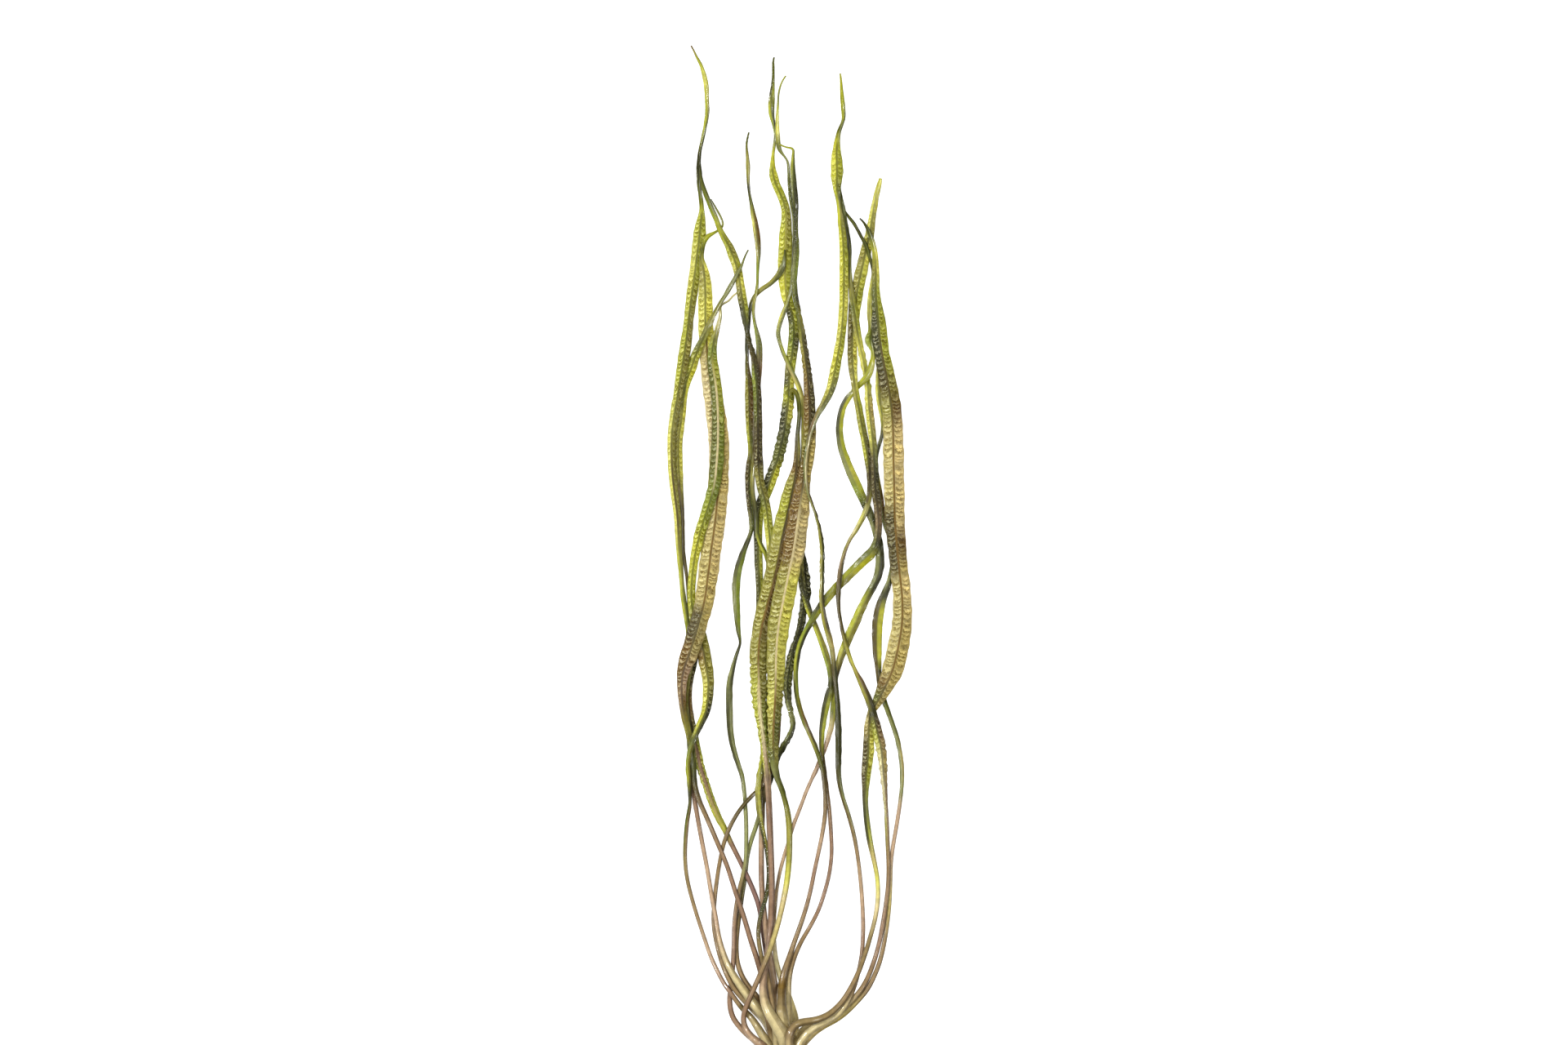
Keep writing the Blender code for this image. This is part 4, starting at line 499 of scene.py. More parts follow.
        (64.3, 132, 2.3), (63.6, 144, 2.4), (62.9, 155, 3.4), (62.1, 166, 4.6), (60.9, 177, 5.8),
        (58.6, 187, 5.8), (56.6, 196, 4.4), (54.2, 204, 4.2), (51.4, 211, 4), (48.2, 218, 3.2),
        (45, 224.5, 1.9), (42.2, 231, 2), (39.9, 238, 2.2), (38, 245.5, 2), (36.2, 254, 1.6),
        (34.9, 262, 1.9), (34.7, 271, 2.5), (35.3, 280, 2.9), (36.6, 289, 2.5), (38.7, 297, 2),
        (41.6, 304, 1.8), (45, 309.5, 2.4), (48.4, 315.5, 2.9), (51, 321, 2.9), (53.2, 328, 3),
        (54.2, 337, 3.4), (54, 346, 4), (52.8, 355, 4.6), (51.2, 364, 4.4), (49.2, 374, 4.4),
        (47.4, 384, 4.2), (45.8, 392, 3.6), (44.6, 400, 3.8), (43.6, 409, 5.2), (43.2, 419, 5.6),
        (43.4, 429, 5.6), (44, 439, 6.4), (45, 448, 7.2), (46.4, 457, 7.4), (48.2, 466, 7.2),
        (50.2, 475, 6.8), (52, 483, 6.2), (53.6, 490, 5.4), (54.8, 497, 4.6), (55.9, 504, 3.8),
        (57.2, 511, 3.5), (58.4, 517, 3), (59.8, 522, 2.4), (60.8, 525.8, 1.4),
    ],
    "leaf_18": [
        (11, -5, 6), (14, 0, 6), (19, 5, 5.4), (25.5, 9.2, 4.8), (33, 12.6, 3.8), (39.6, 17.2, 3.2),
        (46, 23.4, 2.9), (51.8, 30, 2.7), (56, 37.4, 2.5), (59.6, 46, 2.4), (62.2, 56, 2.3),
        (64.2, 67, 2.2), (65.8, 80, 2.2), (66.5, 93, 2.2), (67, 107, 2.2), (68.6, 119, 2.1),
        (70.8, 132, 2.1), (72.8, 146, 2.1), (73.8, 158, 2.2), (73.3, 169, 2.4), (71.4, 180, 2.4),
        (68.4, 190, 2.4), (65.2, 199, 2.6), (62, 208, 3), (60, 217, 3), (59.2, 226, 3.6),
        (58.6, 235, 5), (58.4, 244, 5.8), (58.7, 253, 6.2), (59.8, 261, 5.8), (61.8, 268, 4.8),
        (64.4, 274.5, 3.8), (66.6, 281, 3.2), (68.2, 289, 3), (68.4, 298, 3), (66.4, 306, 3),
        (63.8, 313, 2.8), (62, 321, 2.8), (60.8, 330, 2.8), (59.2, 339, 2.6), (57.8, 347, 2.8),
        (57.8, 355, 2.4), (59.6, 362, 1.9), (61.6, 369, 2), (62.2, 377, 2.8), (60.8, 385, 3.4),
        (59.4, 394, 3.4), (59.2, 403, 3), (60.2, 412, 3), (62.2, 421, 3.2), (63, 429, 3.4),
        (62.2, 437, 3.2), (61, 444, 2.6), (60, 451, 1.6), (59.2, 458, 0.5),
    ],
}
print(len(ROUTES), "leaves with", sum(len(stations) for stations in ROUTES.values()), "stations")

# %% [markdown]
# ## Laying the leaves down
#
# Laid in order, each leaf falls from the neck to the surface and rises over the leaves that are
# already there.  The rise is a smooth bridge, so no leaf passes through another.  Here and there
# two leaves weave, and the order is turned round for a stretch.  The same rule set the solids of
# the frame, so the ribbons here lie where those do.
#
# The stations are joined by a curve that passes through every one of them.

# %% Smooth curves
SAMPLES_PER_SPAN = 6


def smooth_curve(points, steps):
    """Points on a smooth curve through the given points, with a fixed number of steps in each span."""
    given = np.array(points, float)
    padded = np.vstack([2 * given[0] - given[1], given, 2 * given[-1] - given[-2]])
    share = np.linspace(0.0, 1.0, steps, endpoint=False)[:, None]
    spans = []
    for index in range(len(given) - 1):
        before, start, end, after = padded[index:index + 4]
        spans.append(
            start
            + 0.5 * share * (end - before)
            + share ** 2 * (before - 2.5 * start + 2 * end - 0.5 * after)
            + share ** 3 * (1.5 * (start - end) + 0.5 * (after - before))
        )
    spans.append(given[-1:])
    return np.vstack(spans)


def ease(value):
    """A smooth rise from 0 to 1."""
    value = np.clip(value, 0.0, 1.0)
    return value * value * (3.0 - 2.0 * value)


def along_curve(route):
    """The length of the way from the start to every point, seen from above."""
    steps = np.hypot(*np.diff(route[:, :2], axis=0).T)
    return np.concatenate([[0.0], np.cumsum(steps)])


flat_routes = {
    int(name[-2:]): smooth_curve(stations, SAMPLES_PER_SPAN) for name, stations in ROUTES.items()
}
longest = max(along_curve(route)[-1] for route in flat_routes.values())
print("the longest leaf is", round(longest), "mm long")

# %% [markdown]
# A leaf that nothing lies under leaves the round neck at its own height and sinks to the surface.
# Near the bulb a leaf is a thick stalk, and farther out a thin blade.

# %% Height of a leaf that lies alone
BULB_AXIS_HEIGHT = 16.6
NECK_RADIUS = 14.5
FLOOR_CLEARANCE = 0.3
FALL_LENGTH = 105.0
BASE_INSET = 1.8
STALK_END = 140.0
BLADE_START = 190.0
THICKNESS = [(-5.0, 1.5), (45.0, 1.4), (STALK_END, 1.3), (BLADE_START, 0.7), (620.0, 0.6)]


def leaf_thickness(distance):
    """Leaf thickness at a distance from the crown."""
    return np.interp(distance, *np.array(THICKNESS).T)


def resting_height(route):
    """Height of a leaf that nothing lies under: it falls from the round neck to the surface."""
    thickness = leaf_thickness(route[:, 1])
    on_surface = FLOOR_CLEARANCE + thickness / 2
    inside = np.clip(NECK_RADIUS ** 2 - route[:, 0] ** 2, 0.0, None)
    in_neck = BULB_AXIS_HEIGHT - np.sqrt(inside) + BASE_INSET
    fall = ease(1.0 - route[:, 1] / FALL_LENGTH)
    return on_surface + (np.minimum(in_neck, BULB_AXIS_HEIGHT) - on_surface) * fall


lowest = min(resting_height(route).min() for route in flat_routes.values())
print("the lowest middle of a leaf is", round(lowest, 2), "mm up")

# %% [markdown]
# The solids have few rows, and run straight between them.  Those rows are raised until the straight
# runs clear everything that they have to clear.

# %% Rows of the solids
CLOSE_ROWS_END = 55.0
LEAST_ROW_SPACING = 8.6
LEAST_BEND = math.radians(24)
LEAST_BEND_SPACING = 2.4
RAISE_SHARE = 0.7
RAISE_ROUNDS = 3


def ribbon_rows(route):
    """Which samples of a route carry a row of the ribbon: closer together in the crown and in bends."""
    steps = np.diff(route[:, :2], axis=0)
    heading = np.unwrap(np.arctan2(steps[:, 1], steps[:, 0]))
    heading = np.append(heading, heading[-1])
    rows = [0]
    for index in range(1, len(route) - 1):
        spacing = np.hypot(*(route[index] - route[rows[-1]])[:2])
        bend = abs(heading[index] - heading[rows[-1]])
        if route[index, 1] < CLOSE_ROWS_END:
            wanted = index % (SAMPLES_PER_SPAN // 2) == 0
        elif index % SAMPLES_PER_SPAN == 0:
            wanted = spacing > LEAST_ROW_SPACING or (bend > LEAST_BEND and spacing > LEAST_BEND_SPACING)
        else:
            wanted = False
        if wanted:
            rows.append(index)
    if np.hypot(*(route[-1] - route[rows[-1]])[:2]) < LEAST_BEND_SPACING:
        rows.pop()
    rows.append(len(route) - 1)
    return rows


def straighten(height, rows):
    """Raise the rows until the straight runs between them clear every sample, and return those runs."""
    carried = height[rows].copy()
    for _ in range(RAISE_ROUNDS):
        runs = np.interp(np.arange(len(height)), rows, carried)
        short = np.clip(height - runs, 0.0, None)
        for index in range(len(rows) - 1):
            lift = short[rows[index]:rows[index + 1] + 1].max()
            carried[index:index + 2] += RAISE_SHARE * lift
    return np.interp(np.arange(len(height)), rows, carried)


print(sum(len(ribbon_rows(route)) for route in flat_routes.values()), "rows in all the solids")

# %% [markdown]
# Where two leaves cross, the upper one needs the height of the lower one, half of both thicknesses
# and a little air.  A bridge of a fixed reach carries it up to that height and down again.

# %% Bridges over other leaves
SIDE_ROOM = 0.6
STALK_CLEARANCE = 0.55
BLADE_CLEARANCE = 0.85
CROWN_REACH = 15.0
BLADE_REACH = 30.0
# The first leaf passes over the second between these distances, whichever was laid first.
WEAVES = [
    (2, 3, 396, 470), (2, 4, 430, 470), (2, 5, 440, 500), (3, 4, 222, 282), (12, 13, 386, 417),
    (12, 17, 464, 530), (17, 13, 262, 292), (17, 16, 174, 225),
]


def passes_over(number, other, distance):
    """Which samples of a leaf pass over another: all of the one laid later, but where the two weave."""
    over = np.full(len(distance), LAYING_ORDER.index(number) > LAYING_ORDER.index(other))
    for upper, lower, start, end in WEAVES:
        if {upper, lower} == {number, other}:
            over[(distance > start) & (distance < end)] = number == upper
    return over


def lift_over(route, resting, others):
    """Heights that carry a leaf over others in smooth bridges, where its samples pass over them."""
    need = resting.copy()
    for other, other_height, passes in others:
        across = route[:, None, 0] - other[None, :, 0]
        along = route[:, None, 1] - other[None, :, 1]
        touching = (route[:, None, 2] + other[None, :, 2]) / 2 + SIDE_ROOM
        thickness = (leaf_thickness(route[:, None, 1]) + leaf_thickness(other[None, :, 1])) / 2
        blade = ease((route[:, None, 1] - STALK_END) / (BLADE_START - STALK_END))
        clearance = STALK_CLEARANCE + (BLADE_CLEARANCE - STALK_CLEARANCE) * blade
        above = other_height[None, :] + thickness + clearance
        near = (np.hypot(across, along) < touching) & passes[:, None]
        need = np.maximum(need, np.where(near, above, 0.0).max(axis=1))
    length = along_curve(route)
    reach = CROWN_REACH + (BLADE_REACH - CROWN_REACH) * ease(route[:, 1] / FALL_LENGTH)
    apart = np.abs(length[:, None] - length[None, :]) / reach[None, :]
    bridge = 0.5 + 0.5 * np.cos(np.pi * np.clip(apart, 0.0, 1.0))
    return resting + ((need - resting)[None, :] * bridge).max(axis=1)


print("order is turned round in", len(WEAVES), "places")

# %% [markdown]
# A weave makes a leaf rise over one that was laid after it, so the laying is repeated a few times,
# until no height changes any more.

# %% Lay the leaves
SETTLING_ROUNDS = 4


def lay_leaves():
    """Every leaf's route with its height, laid one after another until the weaves have settled."""
    routes = {number: flat_routes[number] for number in LAYING_ORDER}
    heights = {number: resting_height(route) for number, route in routes.items()}
    for _ in range(SETTLING_ROUNDS):
        for number, route in routes.items():
            others = []
            for other in LAYING_ORDER:
                passes = passes_over(number, other, route[:, 1])
                if passes.any():
                    others.append((routes[other], heights[other], passes))
            lifted = lift_over(route, resting_height(route), others)
            heights[number] = straighten(lifted, ribbon_rows(route))
    return {number: np.column_stack([route, heights[number]]) for number, route in routes.items()}


lay = lay_leaves()
print("highest leaf stands", round(max(route[:, 3].max() for route in lay.values()), 1), "mm up")

# %% [markdown]
# ## From stations to a fine ribbon
#
# A ribbon needs rows close enough to hold its puckers, so each route is read again in short steps
# and rounded off.  The steps are shortest on the broad blades and longer on the plain stalks.
#
# The room above each leaf is measured too: where nothing lies on it, a margin may curl up, and
# where another leaf does, it stays low.

# %% Room above a leaf
MOST_ROOM = 9.0
BESIDE = 2.5


def room_above(number):
    """How far above each sample of a leaf the nearest other leaf passes, up to the most that counts."""
    route = lay[number]
    room = np.full(len(route), MOST_ROOM)
    for other in (other for key, other in lay.items() if key != number):
        apart = np.hypot(route[:, None, 0] - other[None, :, 0], route[:, None, 1] - other[None, :, 1])
        gap = other[None, :, 3] - route[:, None, 3]
        above = (apart < (route[:, None, 2] + other[None, :, 2]) / 2 + BESIDE) & (gap > 0.0)
        room = np.minimum(room, np.where(above, gap, MOST_ROOM).min(axis=1))
    return room


rooms = {number: room_above(number) for number in lay}
covered = np.concatenate([room < MOST_ROOM for room in rooms.values()])
print("leaves lie over", round(100 * covered.mean()), "% of the samples")

# %% [markdown]
# The bases go on a little way into the neck of the bulb.  The uppermost ones dive, so that they
# come out of the neck and don't lie on it.

# %% Fine routes
TUCK_IN = 4.5
DIVE_START = -3.0
DIVE_LENGTH = 6.0
DIVE_HEIGHT = 27.5
STALK_STEP = 1.3
NARROW_STEP = 0.92
BROAD_STEP = 0.57
READING_STEP = 0.25
# How many rows on either side soften the side place, the distance, the width and the height.
SOFTENING = [3, 3, 4, 8]


def soften(values, reach):
    """Values with each replaced by a weighted mean of its neighbours up to a reach, in rows."""
    weights = np.hanning(2 * reach + 3)[1:-1]
    padded = np.pad(values, reach, mode="reflect", reflect_type="odd")
    return np.convolve(padded, weights / weights.sum(), mode="valid")


def fine_route(number):
    """Close rows along a leaf: x, distance from the crown, width, height and the room above it."""
    route = np.column_stack([lay[number], rooms[number]])
    tucked = route[:1].copy()
    tucked[0, 1] -= TUCK_IN
    route = np.vstack([tucked, route])
    steps = np.linalg.norm(np.diff(route[:, [0, 1, 3]], axis=0), axis=1)
    length = np.concatenate([[0.0], np.cumsum(steps)])
    places = np.arange(0.0, length[-1], READING_STEP)
    broad = ease((np.interp(places, length, route[:, 2]) - 3.0) / 3.0)
    blade = ease((np.interp(places, length, route[:, 1]) - 90.0) / 30.0)
    step = STALK_STEP + (NARROW_STEP + (BROAD_STEP - NARROW_STEP) * broad - STALK_STEP) * blade
    count = np.cumsum(READING_STEP / step)
    wanted = np.linspace(count[0], count[-1], int(count[-1]) + 1)
    chosen = np.interp(wanted, count, places)
    chosen[-1] = length[-1]
    fine = np.column_stack([np.interp(chosen, length, column) for column in route.T])
    for column, reach in enumerate(SOFTENING):
        fine[:, column] = soften(fine[:, column], reach)
    dive = ease((DIVE_START - fine[:, 1]) / DIVE_LENGTH)
    fine[:, 3] -= dive * np.clip(fine[:, 3] - DIVE_HEIGHT, 0.0, None)
    return fine, chosen


print("rows stand", BROAD_STEP, "to", STALK_STEP, "mm apart")

# %% [markdown]
# ## Colours along the leaves
#
# The leaves start as cream sheaths and mauve-brown stalks, and then turn olive.  Young blades are
# yellow-green and old ones tan.  Most blades are folded or turned, so one half looks light and the
# other dark; that difference is painted shade in the colour of the turned half, over a small real
# difference between the halves.  Each leaf gets a few stops at distances from the crown.  A stop
# names one shade, or the shades of the left half and the right half, or those two and the midrib's.

# %% Shades
SHADES = {
    "sheath": tone(204, 188, 138),
    "cream": tone(222, 212, 160),
    "pink": tone(182, 154, 122),
    "mauve": tone(144, 114, 88),
    "plum": tone(130, 100, 88),
    "umber": tone(142, 118, 80),
    "twig": tone(138, 118, 74),
    "olive": tone(152, 146, 58),
    "moss": tone(102, 106, 32),
    "green": tone(140, 152, 42),
    "bright": tone(176, 178, 52),
    "lime": tone(200, 198, 54),
    "yellow": tone(208, 204, 92),
    # dark and bark also serve as the darker half of a turned blade, where they stand for painted shade.
    "dark": tone(66, 66, 22),
    "slate": tone(138, 140, 82),
    "tan": tone(188, 172, 104),
    "sand": tone(208, 192, 138),
    "brown": tone(122, 94, 34),
    "bark": tone(88, 76, 30),
}

# Where a stop gives one half a much darker shade than the other, that is painted shade of the turned half.
# Distance from the crown, in millimetres, and the shade or shades that the leaf has there.
LEAF_SHADES = {
    1: [(0, "sheath"), (40, "sheath"), (70, "pink"), (105, "pink"), (150, "mauve"), (180, "moss"),
        (215, "yellow olive"), (228, "yellow olive"), (240, "green moss"), (262, "bright moss"),
        (285, "bright olive"), (310, "yellow olive bark"), (345, "yellow olive bark"),
        (370, "yellow olive"), (400, "bright olive"), (440, "bright olive"), (470, "yellow bright"),
        (495, "bright"), (506, "bright"), (515, "moss"), (530, "dark"), (540, "dark"),
        (556, "bright moss"), (572, "bright olive"), (585, "yellow"), (598, "bright"), (607, "umber")],
    2: [(-8, "sheath"), (6, "umber"), (50, "plum"), (95, "plum"), (118, "mauve"),
        (128, "bright bright mauve"),
        (175, "bright bright mauve"), (185, "slate"), (200, "brown"), (230, "dark"), (280, "bark"),
        (325, "bark"), (335, "umber olive"), (345, "olive yellow"), (385, "olive yellow"),
        (396, "moss lime"), (410, "bright lime"), (424, "moss bright"), (440, "olive"), (455, "slate"),
        (467, "slate"), (482, "slate")],
    3: [(-8, "sheath"), (6, "umber"), (40, "mauve"), (100, "mauve"), (135, "umber"), (160, "dark"),
        (172, "moss"),
        (190, "olive"), (205, "umber brown"), (214, "umber pink"), (226, "brown pink"),
        (238, "brown tan"), (246, "bark tan"), (258, "bark tan"), (268, "tan tan brown"),
        (300, "tan sand brown"), (345, "sand tan brown"), (400, "sand sand brown"),
        (420, "tan yellow brown"), (432, "yellow"), (450, "yellow"), (463, "olive yellow"),
        (472, "olive yellow"), (482, "moss"), (490, "bright"), (500, "slate"), (513, "moss")],
    4: [(0, "sheath"), (20, "twig"), (30, "mauve"), (50, "pink"), (75, "umber"), (100, "twig"),
        (130, "moss umber"), (150, "dark"), (160, "bright olive"), (172, "green olive"), (182, "moss"),
        (190, "lime dark"), (202, "lime dark"), (216, "yellow olive"), (234, "brown olive"),
        (250, "olive"), (265, "bright"), (300, "lime"), (330, "green"), (345, "moss green sheath"),
        (365, "moss green sheath"), (395, "moss bright sheath"), (412, "moss bright olive"),
        (420, "green"), (432, "olive"), (445, "cream olive"), (457, "cream")],
    5: [(0, "sheath"), (25, "umber"), (50, "twig"), (80, "dark"), (125, "dark olive"),
        (150, "olive yellow"), (168, "bright moss"), (200, "olive"), (290, "moss"),
        (302, "yellow bright"), (316, "bright"), (330, "moss olive"), (342, "olive"), (352, "bark"),
        (372, "bark"), (382, "moss bark"), (404, "green bark"), (414, "bark"), (435, "dark"),
        (446, "dark bright"), (460, "olive yellow"), (472, "yellow bright"), (480, "bright olive"),
        (498, "bright"), (506, "green slate"), (520, "moss"), (534, "dark")],
    6: [(0, "pink"), (15, "mauve"), (60, "mauve"), (90, "umber"), (110, "slate"), (150, "slate"),
        (170, "dark slate"), (200, "dark slate"), (224, "slate dark"), (240, "dark"),
        (255, "moss green"), (268, "slate green"), (290, "dark green"), (303, "dark"),
        (312, "slate moss"), (325, "bark moss"), (335, "bark green"), (352, "bark olive"),
        (366, "bright moss"), (380, "olive brown"), (398, "olive brown"), (420, "dark"), (448, "dark"),
        (455, "olive"), (463, "olive moss"), (474, "moss"), (482, "moss")],
    7: [(0, "sheath"), (30, "umber"), (110, "umber"), (145, "bark"), (165, "umber"),
        (270, "dark olive"), (285, "moss green"), (301, "bright moss"), (312, "dark moss"),
        (322, "dark"), (345, "olive"), (360, "bark slate"), (410, "umber"), (422, "slate"),
        (436, "green slate"), (450, "olive"), (470, "green"), (478, "olive moss"), (490, "olive brown"),
        (499, "yellow brown"), (510, "moss"), (520, "dark"), (527, "olive"), (541, "olive"),
        (548, "moss"), (554, "moss")],
    8: [(-8, "sheath"), (6, "umber"), (60, "pink"), (100, "mauve"), (120, "pink"), (145, "bark"),
        (165, "sand"),
        (200, "olive"), (300, "dark bright"), (330, "dark bright"), (345, "dark lime"), (356, "moss"),
        (372, "dark moss"), (384, "dark yellow"), (392, "bright"), (402, "dark yellow"),
        (412, "olive bright"), (425, "green dark"), (436, "moss bright"), (444, "dark bright"),
        (452, "lime bright olive"), (470, "lime bright olive"), (500, "bright olive olive"),
        (515, "bright"), (530, "bright lime"), (541, "lime"), (548, "slate"), (558, "green dark"),
        (568, "bright moss"), (578, "dark bright"), (588, "moss"), (600, "moss")],
    9: [(0, "sheath"), (20, "sheath"), (34, "pink"), (55, "mauve"), (140, "mauve"), (158, "pink"),
        (168, "bright bright pink"), (190, "bright green cream"), (212, "bright olive sand"),
        (232, "olive olive brown"), (262, "olive brown brown"), (300, "olive brown bark"),
        (325, "bright brown bark"), (340, "olive brown"), (347, "brown"), (360, "bark olive"),
        (372, "dark"), (390, "moss"), (399, "olive")],
    10: [(0, "pink"), (15, "mauve"), (45, "umber"), (62, "tan"), (85, "sand"), (97, "yellow"),
         (112, "olive"), (130, "olive"), (150, "moss"), (163, "slate"), (172, "moss olive"),
         (190, "olive moss brown"), (206, "yellow olive brown"), (225, "olive yellow sheath"),
         (280, "olive yellow sheath"), (295, "brown sand sheath"), (315, "brown sand sand"),
         (335, "brown tan"), (348, "brown tan"), (362, "olive tan"), (380, "brown bark"),
         (400, "brown bark"), (425, "olive bark"), (440, "moss olive"), (452, "moss dark"),
         (470, "slate green"), (488, "dark moss"), (507, "dark"), (520, "moss dark"),
         (540, "bright moss"), (546, "bright")],
    11: [(-8, "sheath"), (6, "umber"), (50, "umber"), (85, "bark"), (110, "slate"), (140, "slate"),
         (160, "dark"),
         (172, "moss dark"), (190, "moss dark"), (197, "slate"), (210, "slate dark"),
         (222, "slate moss"), (240, "dark"), (297, "dark")],
    12: [(0, "sheath"), (25, "cream"), (45, "cream"), (65, "umber"), (90, "umber"), (115, "pink"),
         (180, "pink"), (190, "sand"), (199, "moss bright"), (208, "bright"), (222, "tan bark"),
         (240, "bright olive"), (265, "bright olive"), (275, "moss dark"), (300, "slate dark"),
         (315, "slate dark"), (325, "dark slate"), (335, "green bright"), (345, "slate yellow"),
         (357, "slate bright"), (370, "dark bright"), (390, "dark lime"), (400, "bright"),
         (415, "bright lime"), (427, "green"), (440, "olive yellow"), (452, "yellow"),
         (462, "yellow dark"), (470, "dark"), (480, "moss"), (492, "dark"), (506, "moss")],
    13: [(0, "sheath"), (12, "sheath"), (22, "twig"), (32, "brown"), (45, "umber"), (70, "umber"),
         (100, "mauve"), (120, "pink"), (135, "umber"), (160, "bark"), (172, "moss"),
         (183, "olive bark"), (195, "moss brown"), (215, "dark green"), (230, "bright dark"),
         (250, "green dark"), (262, "dark bright"), (280, "bright olive"), (291, "moss lime"),
         (302, "moss dark"), (315, "umber"), (330, "bark"), (345, "bark dark"), (355, "bark slate"),
         (366, "yellow olive"), (385, "yellow tan"), (400, "yellow bright"), (420, "yellow"),
         (434, "olive bright"), (446, "moss bright"), (458, "olive"), (468, "dark slate"),
         (490, "dark"), (505, "moss"), (524, "dark")],
    14: [(0, "sheath"), (25, "sheath"), (45, "umber"), (60, "umber"), (80, "mauve"), (125, "mauve"),
         (150, "umber"), (172, "bark"), (185, "dark bright"), (205, "dark bright"), (216, "dark"),
         (228, "green olive"), (245, "bright olive"), (262, "bright dark"), (272, "dark"),
         (290, "dark olive"), (340, "olive moss"), (370, "olive tan"), (385, "yellow tan"),
         (397, "yellow olive"), (405, "tan slate"), (418, "slate bright"), (430, "slate"),
         (440, "yellow slate"), (458, "slate"), (480, "dark slate"), (500, "slate dark"), (522, "moss"),
         (535, "slate"), (545, "moss slate"), (555, "yellow"), (568, "bright"), (575, "slate"),
         (588, "bright")],
    15: [(0, "sheath"), (15, "sheath"), (30, "umber"), (60, "mauve"), (85, "pink"), (115, "umber"),
         (145, "bark slate"), (170, "dark"), (205, "dark"), (225, "bark dark"), (240, "olive tan"),
         (250, "olive bark"), (260, "olive bark"), (280, "olive dark"), (300, "olive dark"),
         (330, "slate bark"), (345, "moss cream"), (360, "moss tan"), (375, "umber slate"),
         (388, "olive slate"), (398, "yellow slate"), (409, "lime bright"), (433, "yellow bright"),
         (450, "lime yellow"), (480, "lime bright"), (505, "lime olive"), (514, "bright moss"),
         (530, "lime bright"), (548, "lime bright"), (556, "moss"), (563, "bright moss"),
         (575, "bright"), (590, "lime")],
    16: [(-8, "sheath"), (6, "umber"), (12, "twig"), (30, "umber"), (60, "twig"), (80, "sand"),
         (97, "yellow"),
         (110, "tan"), (122, "dark bright"), (140, "dark slate"), (158, "bark bright"),
         (180, "bark yellow"), (192, "tan olive"), (207, "moss tan"), (216, "brown tan"),
         (224, "tan tan brown"), (245, "tan tan brown"), (275, "tan sand brown"),
         (287, "bark tan brown"), (302, "bark brown brown"), (318, "bark sand brown"),
         (332, "tan sand brown"), (370, "tan sand brown"), (384, "olive brown"),
         (400, "bark olive bark"), (417, "dark bright bark"), (438, "dark bright"),
         (458, "moss bright"), (470, "olive yellow"), (482, "bright yellow"), (490, "moss"),
         (500, "dark")],
    17: [(0, "sheath"), (15, "sheath"), (30, "umber"), (60, "mauve"), (110, "umber"),
         (130, "olive umber"), (150, "cream umber"), (168, "cream tan"), (185, "bright umber"),
         (198, "dark"), (210, "olive bark"), (220, "olive umber"), (229, "olive yellow"),
         (240, "olive"), (250, "bark"), (275, "bark"), (289, "umber bark"), (300, "olive umber"),
         (309, "cream olive"), (318, "yellow olive"), (328, "bark olive"), (345, "bark"),
         (358, "bright bark"), (390, "olive bright"), (400, "olive yellow"), (430, "bark yellow"),
         (455, "olive bright"), (480, "olive yellow"), (495, "yellow olive"), (515, "yellow"),
         (526, "yellow")],
    18: [(0, "sheath"), (15, "tan"), (30, "umber"), (60, "umber"), (85, "tan"), (110, "pink"),
         (140, "pink"), (150, "slate"), (169, "slate tan"), (185, "slate"), (205, "moss"),
         (215, "bark sheath"), (224, "bark dark"), (232, "bark lime"), (262, "bark lime"),
         (270, "dark"), (281, "slate dark"), (300, "dark"), (313, "slate brown"), (330, "moss brown"),
         (340, "olive"), (355, "slate dark"), (368, "dark"), (385, "yellow slate"),
         (403, "yellow olive"), (415, "bright olive"), (440, "yellow bright"), (458, "bright")],
}
print(len(SHADES), "shades in", sum(len(stops) for stops in LEAF_SHADES.values()), "stops")

# %% [markdown]
# Between two stops the colours blend.  Where a stop doesn't name the midrib's shade, the midrib is a
# darker mean of both halves.

# %% Colours of every row
MIDRIB_DEPTH = 0.4


def shade_rows(number, distance):
    """The colours of the left half, the right half and the midrib in each row of a leaf."""
    stops = []
    for place, names in LEAF_SHADES[number]:
        named = [SHADES[name] for name in names.split()]
        left, right = named[0], named[min(1, len(named) - 1)]
        midrib = named[2] if len(named) == 3 else MIDRIB_DEPTH * (left + right) / 2
        stops.append(np.concatenate([[place], left, right, midrib]))
    table = np.array(stops)
    blended = np.column_stack([np.interp(distance, table[:, 0], channel) for channel in table[:, 1:].T])
    return blended[:, :3], blended[:, 3:6], blended[:, 6:]


print("leaf 3 is", shade_rows(3, np.array([300.0]))[0].round(2), "on its left half at 300 mm")

# %% [markdown]
# ## Smooth, ruffled and wet stretches
#
# Most of a blade is quilted with puckers, but where it is narrow and turned it is smooth.  Here and
# there its margins are ruffled like crepe paper, and some dark stretches are crumpled and so wet
# that they glint.  Two leaves have a stout pale midrib near the stalk.  Each of these is a list of
# stretches, as distances from the crown.

